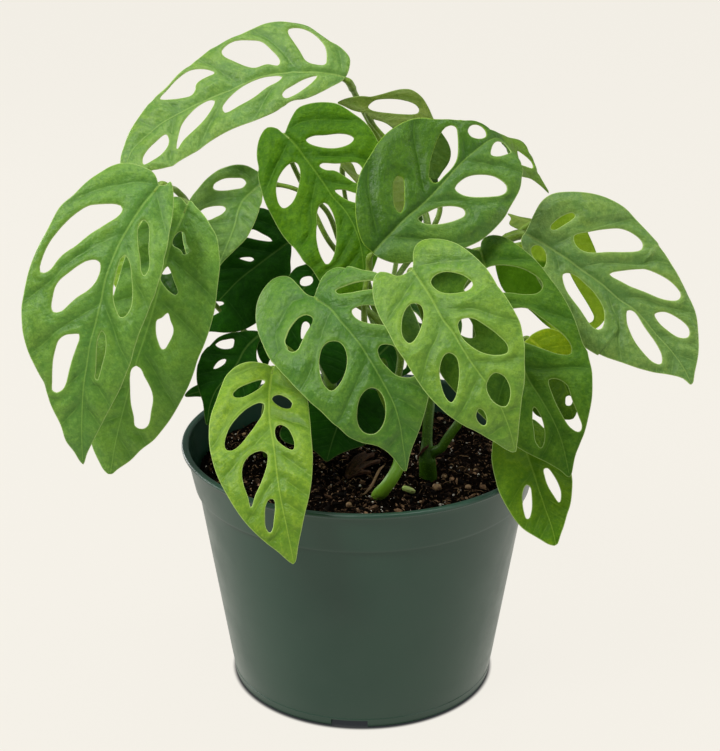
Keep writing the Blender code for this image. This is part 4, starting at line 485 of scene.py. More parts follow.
def ripple(x, y, seed=0):
    """Smooth value noise in 0..1 over the plane, one unit per cell."""
    x = np.asarray(x, float) + seed * 13.7
    y = np.asarray(y, float) + seed * 7.3
    i, j = np.floor(x).astype(int), np.floor(y).astype(int)
    f, g = x - i, y - j
    f, g = f * f * (3 - 2 * f), g * g * (3 - 2 * g)
    n = len(GRAIN)
    a, b = GRAIN[i % n, j % n], GRAIN[(i + 1) % n, j % n]
    c, d = GRAIN[i % n, (j + 1) % n], GRAIN[(i + 1) % n, (j + 1) % n]
    return (a * (1 - f) + b * f) * (1 - g) + (c * (1 - f) + d * f) * g


def mask(p, poly):
    """Which points lie inside a closed outline."""
    x, y = p[:, 0], p[:, 1]
    c = np.zeros(len(p), bool)
    a, b = np.asarray(poly), np.roll(np.asarray(poly), 1, 0)
    for (xi, yi), (xj, yj) in zip(a, b):
        if yi != yj:
            c ^= ((yi > y) != (yj > y)) & (x < (xj - xi) * (y - yi) / (yj - yi) + xi)
    return c


def gap(p, q):
    """Distance from each point of p to the nearest point of q."""
    out = np.full(len(p), 1e9)
    for i in range(0, len(q), 400):
        d = p[:, None] - q[None, i:i + 400]
        out = np.minimum(out, np.sqrt((d ** 2).sum(-1)).min(1))
    return out


def dense(c, step, closed=True):
    """Points every step along a polyline."""
    p = np.vstack((c, c[:1])) if closed else np.asarray(c)
    s = np.r_[0, np.cumsum(np.linalg.norm(np.diff(p, axis=0), axis=1))]
    n = max(3, int(s[-1] / step))
    q = np.linspace(0, s[-1], n, endpoint=not closed)
    return np.stack([np.interp(q, s, p[:, k]) for k in range(p.shape[1])], -1)


def add_mesh(name, verts, faces, mats, smooth=True, attrs=None, uv=None, index=None):
    mesh = bpy.data.meshes.new(name)
    v = np.asarray(verts, float) * MM
    mesh.from_pydata(v.tolist(), [], faces)
    for m in mats:
        mesh.materials.append(m)
    if index is not None:
        mesh.polygons.foreach_set("material_index", np.asarray(index, np.int32))
    if smooth:
        mesh.polygons.foreach_set("use_smooth", np.ones(len(mesh.polygons), bool))
    for key, val in (attrs or {}).items():
        a = mesh.attributes.new(key, "FLOAT", "POINT")
        a.data.foreach_set("value", np.asarray(val, np.float32))
    if uv is not None:
        layer = mesh.uv_layers.new(name="UVMap")
        idx = np.empty(len(mesh.loops), np.int32)
        mesh.loops.foreach_get("vertex_index", idx)
        layer.data.foreach_set("uv", np.asarray(uv, np.float32)[idx].ravel())
    mesh.update()
    ob = bpy.data.objects.new(name, mesh)
    bpy.context.scene.collection.objects.link(ob)
    return ob


class Look:
    """A material graph with short names for its usual nodes."""

    def __init__(self, name):
        self.m = bpy.data.materials.new(name)
        self.m.use_nodes = True
        self.t = self.m.node_tree
        self.t.nodes.clear()
        self.out = self.add("ShaderNodeOutputMaterial")

    def add(self, kind, **kw):
        n = self.t.nodes.new(kind)
        for k, v in kw.items():
            setattr(n, k, v)
        return n

    def link(self, a, b):
        self.t.links.new(a, b)

    def put(self, socket, value):
        if isinstance(value, bpy.types.NodeSocket):
            self.link(value, socket)
        elif isinstance(value, (tuple, list)) and len(value) == 3 and socket.type == "RGBA":
            socket.default_value = (*value, 1.0)
        else:
            socket.default_value = value

    def attr(self, name):
        return self.add("ShaderNodeAttribute", attribute_name=name).outputs["Fac"]

    def math(self, op, a, b=None, clamp=False):
        n = self.add("ShaderNodeMath", operation=op, use_clamp=clamp)
        self.put(n.inputs[0], a)
        if b is not None:
            self.put(n.inputs[1], b)
        return n.outputs[0]

    def span(self, value, a, b, c=0.0, d=1.0):
        n = self.add("ShaderNodeMapRange", clamp=True)
        n.interpolation_type = "SMOOTHSTEP"
        self.put(n.inputs["Value"], value)
        for k, x in (("From Min", a), ("From Max", b), ("To Min", c), ("To Max", d)):
            n.inputs[k].default_value = x
        return n.outputs["Result"]

    def mix(self, fac, a, b, kind="MIX"):
        n = self.add("ShaderNodeMix", data_type="RGBA", blend_type=kind)
        self.put(n.inputs[0], fac)
        self.put(n.inputs[6], a)
        self.put(n.inputs[7], b)
        return n.outputs[2]

    def noise(self, scale, detail=3.0, rough=0.5, vec=None, kind="ShaderNodeTexNoise"):
        n = self.add(kind)
        n.inputs["Scale"].default_value = scale
        if "Detail" in n.inputs:
            n.inputs["Detail"].default_value = detail
            n.inputs["Roughness"].default_value = rough
        self.put(n.inputs["Vector"], vec if vec is not None else self.add("ShaderNodeTexCoord").outputs["Object"])
        return n.outputs[0]

    def bump(self, height, strength, distance, normal=None):
        n = self.add("ShaderNodeBump")
        n.inputs["Strength"].default_value = strength
        n.inputs["Distance"].default_value = distance
        self.put(n.inputs["Height"], height)
        if normal is not None:
            self.link(normal, n.inputs["Normal"])
        return n.outputs["Normal"]

    def surface(self, colour, rough, normal=None, spec=0.5, through=None, share=0.3, **kw):
        """Principled surface, with light let through the blade if asked."""
        p = self.add("ShaderNodeBsdfPrincipled")
        self.put(p.inputs["Base Color"], colour)
        self.put(p.inputs["Roughness"], rough)
        p.inputs["Specular IOR Level"].default_value = spec
        for k, v in kw.items():
            self.put(p.inputs[k.replace("_", " ")], v)
        if normal is not None:
            self.link(normal, p.inputs["Normal"])
        if through is None:
            self.link(p.outputs[0], self.out.inputs[0])
            return self.m
        q = self.add("ShaderNodeBsdfTranslucent")
        self.put(q.inputs["Color"], through)
        if normal is not None:
            self.link(normal, q.inputs["Normal"])
        m = self.add("ShaderNodeMixShader")
        m.inputs[0].default_value = share
        self.link(p.outputs[0], m.inputs[1])
        self.link(q.outputs[0], m.inputs[2])
        self.link(m.outputs[0], self.out.inputs[0])
        return self.m


# ------------------------------------------------------------------- materials
def times(c, k, add=(0.0, 0.0, 0.0)):
    k = k if isinstance(k, tuple) else (k, k, k)
    return tuple(min(1.0, x * y + z) for x, y, z in zip(c, k, add))


def leaf_looks(name, mid, low=None, tip=None, pale=1.0, gloss=0.40, share=0.20, spec=0.30, painted_shade=None, midrib_shade=0.0):
    """Upper and lower faces of one leaf. mid is its upper green and low its
    lower one; tip is the green of a folded-back tip. The last two arguments
    paint shade into the green: the first is a list of axes, each with two
    places on it, and the factors on the green past them, where leaves above
    shade the blade; the second is how far painted shade darkens the blade
    along its midrib crease."""
    looks = []
    front = low is None
    low = low or times(mid, 1.2, (0.03, 0.05, 0.010))
    margin = times((0.40, 0.50, 0.16), pale, times(mid, 0.6))
    for upper in (True, False):
        k = Look("%s_%s" % (name, "upper" if upper else "under"))
        rib, vein, edge, along = k.attr("rib"), k.attr("vein"), k.attr("edge"), k.attr("along")
        ring, comb, out = k.attr("ring"), k.attr("comb"), k.attr("out")
        c = mid if upper else low
        cloud = k.noise(34.0, 2.0, 0.55)
        patch = k.noise(85.0, 3.0, 0.6)
        base = k.mix(k.span(cloud, 0.32, 0.68), times(c, (0.74, 0.84, 0.80)), times(c, (1.22, 1.12, 1.10)))
        base = k.mix(k.span(patch, 0.42, 0.66, 0.0, 0.55), base, times(c, (1.32, 1.10, 0.62)))
        base = k.mix(k.span(patch, 0.42, 0.26, 0.0, 0.50), base, times(c, (0.66, 0.86, 1.15)))
        way = k.add("ShaderNodeCombineXYZ")
        k.link(k.math("MULTIPLY", comb, 0.62), way.inputs[0])
        k.link(k.math("MULTIPLY", out, 0.11), way.inputs[1])
        streak = k.noise(1.0, 4.0, 0.62, way.outputs[0])
        quilt = k.noise(330.0, 2.0, 0.5)
        base = k.mix(k.span(streak, 0.50, 0.72, 0.0, 0.50), base, times(c, (1.55, 1.32, 1.35)))
        base = k.mix(k.span(streak, 0.50, 0.30, 0.0, 0.50), base, times(c, (0.52, 0.64, 0.55)))
        base = k.mix(k.span(quilt, 0.50, 0.70, 0.0, 0.50), base, times(c, (1.50, 1.30, 1.35)))
        base = k.mix(k.span(quilt, 0.50, 0.32, 0.0, 0.50), base, times(c, (0.55, 0.68, 0.60)))
        # painted shade: a darker, bluer band along the midrib crease
        if midrib_shade:
            base = k.mix(k.span(out, 0.8, 10.0, midrib_shade, 0.0), base, times(c, (0.56, 0.74, 0.92)))
        fine = k.noise(620.0, 4.0, 0.65)
        cells = k.noise(1500.0, 2.0, 0.5)
        base = k.mix(k.span(fine, 0.50, 0.68, 0.0, 0.50), base, times(c, (1.75, 1.42, 1.5)))
        base = k.mix(k.span(fine, 0.48, 0.34, 0.0, 0.50), base, times(c, (0.48, 0.60, 0.50)))
        base = k.mix(k.span(cells, 0.46, 0.62, 0.0, 0.34), base, times(c, (0.48, 0.60, 0.48)))
        if upper:
            # painted shade: a darker band along each sunken side vein, the shade of its furrow
            base = k.mix(k.span(vein, 0.3, 3.0, 0.58, 0.0), base, times(c, (0.46, 0.58, 0.50)))
            base = k.mix(k.span(ring, 0.6, 3.0, 0.34, 0.0), base, times(c, (1.42, 1.24, 1.05)))
            base = k.mix(k.span(vein, 0.10, 0.42, 0.42, 0.0), base, times(c, (1.6, 1.38, 1.4), (0.015, 0.02, 0.01)))
            # painted shade: darker beside the midrib, the shade of its crease
            base = k.mix(k.span(rib, 0.9, 3.2, 0.30, 0.0), base, times(c, (0.6, 0.72, 0.62)))
            base = k.mix(k.span(rib, 0.16, 0.62, 0.62, 0.0), base, times(c, (1.6, 1.35, 1.4), (0.05, 0.06, 0.02)))
        else:
            base = k.mix(k.span(vein, 0.25, 0.80, 0.45, 0.0), base, times(c, (1.35, 1.22, 1.5), (0.02, 0.025, 0.01)))
            base = k.mix(k.span(rib, 0.5, 1.3, 0.70, 0.0), base, times(c, (1.45, 1.28, 1.5), (0.03, 0.04, 0.015)))
        if tip and upper:
            base = k.mix(k.span(along, 0.695, 0.735), base, k.mix(k.span(fine, 0.4, 0.7), tip, times(tip, 1.25)))
        base = k.mix(k.span(edge, 0.12, 0.40, 0.85, 0.0), base, margin)
        # painted shade: past the given places the green is darkened where leaves above shade the blade
        if painted_shade and upper == front:
            cut = k.add("ShaderNodeSeparateXYZ")
            k.link(k.add("ShaderNodeTexCoord").outputs["Object"], cut.inputs[0])
            shade = 1.0
            for axis, low_end, high_end in painted_shade[0]:
                shade = k.math("MULTIPLY", shade, k.span(comb if axis == "side" else cut.outputs[axis], low_end, high_end))
            base = k.mix(shade, base, k.mix(1.0, base, painted_shade[1], "MULTIPLY"))
        h = k.math("ADD", k.math("MULTIPLY", fine, 0.55), k.math("MULTIPLY", cells, 0.3))
        h = k.math("ADD", h, k.math("MULTIPLY", streak, 0.7))
        h = k.math("ADD", h, k.math("MULTIPLY", quilt, 1.5))
        normal = k.bump(h, 0.70, 0.00060)
        rough = k.span(cloud, 0.3, 0.7, gloss, gloss + 0.10) if upper else max(gloss, 0.58)
        glow = times(c, (2.0, 1.7, 0.7), (0.02, 0.03, 0.0))
        # the painted shade also darkens the light let through the blade there
        if painted_shade and upper == front:
            glow = k.mix(shade, glow, times(glow, painted_shade[1]))
        looks.append(k.surface(base, rough, normal, spec if upper else min(spec, 0.22), glow, share if upper else share + 0.06))
    return looks


def stalk_look(name, low, high, rough=0.38):
    k = Look(name)
    along, turn = k.attr("along"), k.attr("turn")
    base = k.mix(k.span(along, 0.0, 1.0), low, high)
    streak = k.noise(380.0, 3.0, 0.6)
    base = k.mix(k.span(streak, 0.4, 0.7, 0.0, 0.35), base, tuple(c * 0.6 for c in low))
    fleck = k.noise(1400.0, 2.0, 0.5)
    base = k.mix(k.span(fleck, 0.56, 0.66, 0.0, 0.4), base, tuple(min(1, c * 1.6 + 0.02) for c in high))
    base = k.mix(k.math("MULTIPLY", k.span(turn, 0.55, 1.0), 0.35), base, tuple(c * 0.5 for c in low))
    return k.surface(base, rough, k.bump(streak, 0.35, 0.0004), 0.34)


# ---------------------------------------------------------------------- leaves
def lateral_veins(blade, edge, holes):
    """Side veins in blade coordinates. They run out between the holes."""
    length = blade.length
    rim = dense(curve(edge, 200, True), 0.6)
    veins = []
    for side in (-1, 1):
        found = []
        for h in holes:
            c = h.mean(0)
            if c[1] * side < 0.6:
                continue
            i, o = np.argmin(np.abs(h[:, 1])), np.argmax(np.abs(h[:, 1]))
            slope = (h[o, 0] - h[i, 0]) / max(abs(h[o, 1]) - abs(h[i, 1]), 3.0)
            slope = float(np.clip(slope, 0.12, 1.35))
            found.append((c[0] - slope * abs(c[1]), slope))
        found.sort()
        merged = []
        for q in found:
            if merged and q[0] - merged[-1][0] < 0.06 * length:
                merged[-1] = ((merged[-1][0] + q[0]) / 2, (merged[-1][1] + q[1]) / 2)
            else:
                merged.append(q)
        marks = []
        if merged:
            marks.append((merged[0][0] - 0.10 * length, merged[0][1] * 0.7))
            marks += [((p[0] + q[0]) / 2, (p[1] + q[1]) / 2) for p, q in zip(merged, merged[1:])]
            last = merged[-1]
        else:
            last = (-0.02 * length, 0.40)
        s0 = last[0] + 0.10 * length
        while s0 < 0.88 * length:
            marks.append((s0, min(last[1] + 0.2 * (s0 - last[0]) / length * 2, 1.2)))
            s0 += 0.115 * length
        for s0, slope in marks:
            if s0 < -0.22 * length:
                continue
            line = []
            for x in np.arange(0.0, 70.0, 0.8):
                p = (max(s0, 0.0) + (s0 - max(s0, 0.0)) * min(x / 8.0, 1.0) + slope * x + 0.004 * x * x, side * x)
                line.append(p)
            line = np.array(line)
            ok = mask(line, rim)
            ok[:3] = True
            stop = np.argmin(ok) if not ok.all() else len(line)
            if stop > 6:
                veins.append(line[:stop])
    return veins


def blade_mesh(name, spec, looks, h=0.46, step=1.35, turned=False):
    """One leaf: two skins joined round the outline and every hole."""
    blade, edge, holes = leaf_plan(spec)
    length = blade.length
    loops = [dense(curve(edge, max(60, 4 * len(edge)), True), 0.95)]
    loops += [dense(curve(q, 48, True), 0.8) for q in holes]
    fine_rim = np.vstack([dense(c, 0.3) for c in loops])
    pts, lines = [], []
    for c in loops:
        k = len(pts)
        pts += c.tolist()
        lines += [(k + i, k + (i + 1) % len(c)) for i in range(len(c))]
    n_rim = len(pts)
    solid = lambda p: mask(p, loops[0]) & ~np.any([mask(p, c) for c in loops[1:]] or [np.zeros(len(p), bool)], axis=0)
    extra = []
    for c in loops:
        for off in (0.55,):
            t = np.roll(c, -1, 0) - np.roll(c, 1, 0)
            nrm = np.stack((-t[:, 1], t[:, 0]), -1) / np.maximum(np.linalg.norm(t, axis=1), 1e-6)[:, None]
            for sgn in (1, -1):
                q = c + sgn * off * nrm
                q = q[solid(q)]
                if len(q):
                    extra.append(q[gap(q, fine_rim) > off * 0.8])
    s = np.arange(1.0, length - 0.6, 1.1)
    spine = np.vstack([np.stack((s, np.full(len(s), t)), -1) for t in (0.0, 0.7, -0.7, 1.7, -1.7)])
    spine = spine[solid(spine)]
    extra.append(spine[gap(spine, fine_rim) > 0.6])
    veins = lateral_veins(blade, edge, holes)
    track = []
    for v in veins:
        v = dense(v, 1.05, False)
        t = unit(np.gradient(v, axis=0))
        nrm = np.stack((-t[:, 1], t[:, 0]), -1)
        for off in (0.0, 0.6, -0.6):
            q = v + off * nrm
            q = q[(np.abs(q[:, 1]) > 2.3) & solid(q)]
            if len(q):
                track.append(q[gap(q, fine_rim) > 0.9])
    track = np.vstack(track) if track else np.zeros((0, 2))
    if len(track):
        keep = np.ones(len(track), bool)
        for i in range(1, len(track)):
            if keep[i] and np.min(np.hypot(*(track[:i][keep[:i]] - track[i]).T)) < 0.42:
                keep[i] = False
        track = track[keep]
        extra.append(track)
    lo, hi = loops[0].min(0), loops[0].max(0)
    grid = []
    for i, a in enumerate(np.arange(lo[0], hi[0], step * 0.87)):
        b = np.arange(lo[1] + (step / 2 if i % 2 else 0.0), hi[1], step)
        grid.append(np.stack((np.full(len(b), a), b), -1))
    grid = np.vstack(grid)
    grid = grid[solid(grid)]
    grid = grid[(gap(grid, fine_rim) > 1.15) & ((np.abs(grid[:, 1]) > 2.6) | (grid[:, 0] < 0.5))]
    if len(track):
        grid = grid[gap(grid, track) > 0.85]
    extra.append(grid)
    pts += np.vstack(extra).tolist()
    out, _, tris, _, _, _ = delaunay_2d_cdt([Vector(p) for p in pts], lines, [], 1, 1e-5)
    flat = np.array([tuple(v) for v in out])
    tris = np.array([tuple(f) for f in tris])
    tris = tris[solid(flat[tris].mean(1))]
    used = np.unique(tris)
    remap = np.full(len(flat), -1)
    remap[used] = np.arange(len(used))
    flat, tris = flat[used], remap[tris]
    n = len(flat)
    # every blade triangle faces the upper side
    a, b, c = flat[tris[:, 0]], flat[tris[:, 1]], flat[tris[:, 2]]
    area = (b[:, 0] - a[:, 0]) * (c[:, 1] - a[:, 1]) - (b[:, 1] - a[:, 1]) * (c[:, 0] - a[:, 0])
    tris[area < 0] = tris[area < 0][:, ::-1]
    tris = tris[np.abs(area) > 1e-9]

    ds = gap(flat, fine_rim)
    ds[ds < 0.16] = 0.0
    rib = np.abs(flat[:, 1])
    dv = gap(flat, np.vstack([dense(v, 0.5, False) for v in veins])) if veins else np.full(n, 30.0)
    f = np.clip(flat[:, 0] / length, 0, 1)
    seed = sum(map(ord, name)) % 29
    body = np.clip(ds / 5.0, 0, 1)
    off_rib = np.clip(rib / 5.0, 0, 1)
    size = np.clip(length / 90.0, 0.45, 1.1)
    dh = gap(flat, np.vstack([dense(c, 0.3) for c in loops[1:]])) if len(loops) > 1 else np.full(n, 30.0)
    lift = 1.80 * size * (1 - np.exp(-(dv / 4.2) ** 2)) * body * off_rib
    lift -= 0.50 * size * np.exp(-(dv / 1.1) ** 2) * np.clip(ds / 3.0, 0, 1) * np.clip(rib / 1.5, 0.2, 1)
    lift -= 0.42 * size * np.exp(-((dh - 3.6) / 1.1) ** 2) * np.clip(rib / 4.0, 0, 1)
    lift += 0.32 * size * np.exp(-((dh - 1.5) / 1.2) ** 2) * np.clip(rib / 4.0, 0, 1)
    lift -= 0.60 * size * np.exp(-(rib / 1.1) ** 2) * (1.1 - f)
    lift += 0.35 * size * np.exp(-((rib - 2.6) / 1.4) ** 2) * (1.1 - f) * np.clip(ds / 2.0, 0, 1)
    lift += 2.0 * size * (ripple(flat[:, 0] / 16.0, flat[:, 1] / 13.0, seed) - 0.5) * np.clip(rib / 14.0, 0, 1)
    lift += 0.70 * (ripple(flat[:, 0] / 5.0, flat[:, 1] / 4.0, seed + 3) - 0.5) * body
    comb = flat[:, 0] - 0.62 * rib - 0.004 * rib ** 2 + 200.0 * (flat[:, 1] > 0)
    half = h / 2 * (0.55 + 0.45 * np.clip(ds / 1.6, 0, 1))
    under = half + (0.95 - 0.72 * f) * np.exp(-(flat[:, 1] / (1.05 - 0.45 * f)) ** 2) * np.clip(ds / 0.9, 0, 1) * size
    under += 0.20 * size * np.exp(-(dv / 0.75) ** 2) * np.clip(ds / 2.0, 0, 1)
    if turned:
        half, under, lift = under, half, -lift
    top = blade.point(flat[:, 0], flat[:, 1], lift + half)
    low = blade.point(flat[:, 0], flat[:, 1], lift - under)
    verts = np.vstack((top, low))
    count = {}
    for q in tris:
        for i in range(3):
            e = (q[i], q[(i + 1) % 3])
            count[e] = True
    rims = [e for e in count if (e[1], e[0]) not in count]
    faces = [tuple(map(int, q)) for q in tris]
    faces += [tuple(int(x) + n for x in q[::-1]) for q in tris]
    faces += [(int(e[1]), int(e[0]), int(e[0]) + n, int(e[1]) + n) for e in rims]
    index = [int(turned)] * len(tris) + [int(not turned)] * len(tris) + [0] * len(rims)
    two = lambda x: np.concatenate((x, x))
    ob = add_mesh(name + "_blade", verts, faces, looks, attrs={
        "edge": two(ds), "vein": two(dv), "rib": two(rib / (1.25 - 0.85 * f)), "along": two(f),
        "ring": two(dh), "comb": two(comb), "out": two(rib)},
        uv=np.vstack((flat, flat)) / 200.0 + 0.5, index=index)
    return ob, blade


# ------------------------------------------------------------- stems and stalks
def sweep(name, line, radius, sides, step, mat, channel=0.0, rings=(), flat=None, wobble=0.0):
    """A stem or stalk: a tube whose radius follows (place, mm) pairs."""
    line = np.asarray(line, float)
    length = np.linalg.norm(np.diff(line, axis=0), axis=1).sum()
    n = max(8, int(length / step))
    c = curve(line, n)
    seed = sum(map(ord, name)) % 31
    if wobble:
        x = np.linspace(0, length / 22.0, n)
        ends = np.sin(np.linspace(0, math.pi, n)) ** 0.5
        for axis in range(2):
            c[:, axis] += wobble * ends * (ripple(x, x * 0 + axis * 3.3, seed + axis) - 0.5) * 2
    t = unit(np.gradient(c, axis=0))
    f = np.linspace(0, 1, n)
    r = np.interp(f, [q[0] for q in radius], [q[1] for q in radius])
    for where, size, width in rings:
        r = r + size * np.exp(-(((f - where) * length) / width) ** 2)
    up = np.array((0.0, 0.0, 1.0))
    a = unit(np.cross(t[0], (0.3, 0.8, 0.5)))
    rows = []
    for i in range(n):
        a = unit(a - (a @ t[i]) * t[i])
        b = np.cross(t[i], a)
        w = np.linspace(0, 2 * math.pi, sides, endpoint=False)
        d = np.cos(w)[:, None] * a + np.sin(w)[:, None] * b
        side_up = d @ up
        rr = r[i] * (1 - channel * np.clip(side_up - 0.55, 0, 1) / 0.45)
        rr = rr * (1 + 0.035 * (ripple(w * 1.2 + 2, np.full(sides, f[i] * length / 3.5), seed) - 0.5))
        rows.append(c[i] + d * rr[:, None])
    verts = np.vstack(rows + [c[:1], c[-1:]])
    faces = []
    for i in range(n - 1):
        for k in range(sides):
            p, q = i * sides + k, i * sides + (k + 1) % sides
            faces.append((p, q, q + sides, p + sides))
    for k in range(sides):
        j = (k + 1) % sides
        faces.append((n * sides, j, k))
        faces.append((n * sides + 1, (n - 1) * sides + k, (n - 1) * sides + j))
    turn = np.concatenate([np.full(sides, 0.0) for _ in range(n)] + [np.zeros(2)])
    for where, size, width in rings:
        turn = np.maximum(turn, np.concatenate((np.repeat(np.exp(-(((f - where) * length) / (width * 0.8)) ** 2), sides), np.zeros(2))))
    along = np.concatenate((np.repeat(f, sides), (0.0, 1.0)))
    return add_mesh(name, verts, faces, [mat], attrs={"along": along, "turn": turn})


def worn(ob, node, slot, *more):
    """The piece stands for its frame node; slot is not used."""
    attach(ob, "root")
    if node:
        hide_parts(node, *more)
    return ob


# ------------------------------------------------------------- leaf greens
# The green of the face that shows in front, leaf by leaf: new leaves are lime,
# old ones deep; those inside the crown take a nearly black green that is painted shade.
# painted light: leaf_21 and leaf_26 carry greens paler than a leaf's own, standing for light shining through them
TONES = {
    "leaf_01": (0.153, 0.297, 0.054), "leaf_02": (0.127, 0.279, 0.037), "leaf_03": (0.152, 0.326, 0.042),
    "leaf_04": (0.151, 0.301, 0.053), "leaf_05": (0.065, 0.182, 0.002), "leaf_06": (0.090, 0.209, 0.022),
    "leaf_07": (0.270, 0.430, 0.028), "leaf_08": (0.278, 0.388, 0.123), "leaf_09": (0.094, 0.230, 0.023),
    "leaf_10": (0.148, 0.295, 0.030), "leaf_11": (0.182, 0.332, 0.022), "leaf_12": (0.140, 0.260, 0.049),
    "leaf_13": (0.066, 0.167, 0.010), "leaf_14": (0.103, 0.224, 0.005), "leaf_21": (0.400, 0.564, 0.080),
    "leaf_22": (0.255, 0.378, 0.006), "leaf_23": (0.196, 0.300, 0.051), "leaf_24": (0.030, 0.100, 0.008),
    "leaf_26": (0.367, 0.486, 0.230)}
# painted shade: one near-black green for the leaves inside the crown
CROWN_SHADE_GREEN = (0.0085, 0.0560, 0.0010)
SLOTS = {"leaf_10": "leaf_young", "leaf_11": "leaf_young", "leaf_01": "leaf_light", "leaf_02": "leaf_light",
         "leaf_03": "leaf_light", "leaf_07": "leaf_light", "leaf_09": "leaf_light", "leaf_04": "leaf_middle", "leaf_05": "leaf_middle",
         "leaf_06": "leaf_middle", "leaf_12": "leaf_middle", "leaf_13": "leaf_deep", "leaf_14": "leaf_deep",
         "leaf_22": "leaf_deep", "leaf_24": "leaf_deep", "leaf_08": "leaf_backlit", "leaf_21": "leaf_backlit",
         "leaf_23": "leaf_backlit", "leaf_26": "leaf_backlit"}
TURNED = ("leaf_08", "leaf_21", "leaf_23", "leaf_26")      # these show their lower face in front

# painted shade: the crown's inner leaves share a near-black green that stands for the shade they sit in
crown_shade_looks = leaf_looks("blade_crown_shade", CROWN_SHADE_GREEN, pale=0.16, gloss=0.60, share=0.10, spec=0.05)
DULL = ("leaf_05", "leaf_13", "leaf_14", "leaf_22", "leaf_24")
# these leaves get painted shade along their midrib
MIDRIB_SHADE_LEAVES = ("leaf_02", "leaf_06", "leaf_09", "leaf_12")
# painted shade: parts of some pieces are painted from lime to deep green where the leaves above them shade them
PAINTED_SHADE_PLACES = {"leaf_07": ([(0, -0.0970, -0.0925)], (0.09, 0.20, 0.04)),
         "leaf_21": ([(0, 0.0900, 0.0845), (2, 0.1892, 0.1872)], (0.24, 0.42, 0.12)),
         "leaf_22": ([(2, 0.1580, 0.1520)], (0.22, 0.33, 0.30)),
         "leaf_08": ([(2, 0.2475, 0.2450)], (0.28, 0.42, 0.20)),
         "leaf_06": ([("side", 90.0, 110.0)], (0.60, 0.74, 0.16))}
blades = {}
for name, spec in LEAVES.items():
    tone = TONES.get(name)
    if tone is None:
        looks = crown_shade_looks
    elif name in TURNED:
        # the turned leaves show their lower face; the greens of leaf_21 and leaf_26 carry painted light shining through
        # them
        looks = leaf_looks("blade_" + name[-2:], times(tone, (0.5, 0.6, 0.5)), low=tone, pale=0.6, share=0.45,
                           painted_shade=PAINTED_SHADE_PLACES.get(name))
    else:
        looks = leaf_looks("blade_" + name[-2:], tone, tip=(0.170, 0.270, 0.060) if name == "leaf_06" else None,
                           pale=0.85 if tone[1] > 0.2 else 0.6,
                           gloss=0.50 if name in DULL else 0.40, spec=0.12 if name in DULL else 0.32,
                           midrib_shade=0.5 if name in MIDRIB_SHADE_LEAVES else 0.0,
                           painted_shade=PAINTED_SHADE_PLACES.get(name))
    ob, blade = blade_mesh(name, spec, looks, turned=name in TURNED)
    blades[name[-2:]] = blade
    worn(ob, name, SLOTS.get(name, "leaf_shaded"))

# --------------------------------------------------------------------- stems
STEM_LOOK = stalk_look("stem_skin", (0.034, 0.100, 0.002), (0.085, 0.190, 0.005))
GREEN_LOOK = stalk_look("stem_young_skin", (0.200, 0.400, 0.022), (0.100, 0.260, 0.018), 0.36)
STALK_LOOK = stalk_look("stalk_skin", (0.075, 0.150, 0.006), (0.150, 0.250, 0.020), 0.46)
SHEATH_LOOK = stalk_look("sheath_skin", (0.260, 0.160, 0.055), (0.380, 0.250, 0.100), 0.7)


def stem_line(spec):
    first = spec["line"][0]
    return [at_z(first[0], first[1], SOIL_TOP + 0.35)] + [at(*q) for q in spec["line"][1:]]


lines = {}
for name, spec in STEMS.items():
    pts = stem_line(spec)
    if name == "stem_right":
        pts = [at(*q) for q in spec["line"]]
    lines[name] = (curve(pts, 41), spec["r"])
for name, spec in STEMS.items():
    pts = [p for p in lines[name][0][::5]]
    r0, r1 = spec["r"]
    if name == "stem_right":
        c = lines["stem_main"][0]
        pts = [c[3], (c[6] + pts[0]) / 2] + pts
    else:
        pts = [pts[0] - np.array((0, 0, 3.5))] + pts
    marks = sorted({v[1] for v in STALKS.values() if v[0] == name and not isinstance(v[1], tuple)})
    rings = [(min(0.97, 0.06 + 0.92 * m), 0.12 * r1, 1.1) for m in marks] + [(0.16, 0.06 * r0, 0.9)]
    look = GREEN_LOOK if name == "stem_front" else STEM_LOOK
    prof = [(0, r0 * 1.12), (0.08, r0 * 1.04), (1, r1)]
    if name == "stem_main":
        prof = [(0, r0 * 0.90), (0.12, r0 * 0.84), (0.20, r0 * 0.72), (0.30, 2.35), (1, 2.0)]
    elif name == "stem_right":
        prof = [(0, 1.4), (0.10, 2.0), (0.2, 2.15), (1, 1.8)]
    ob = sweep(name + "_skin", pts, prof, 20, 0.9, look, rings=rings)
    worn(ob, name, "stem_green")

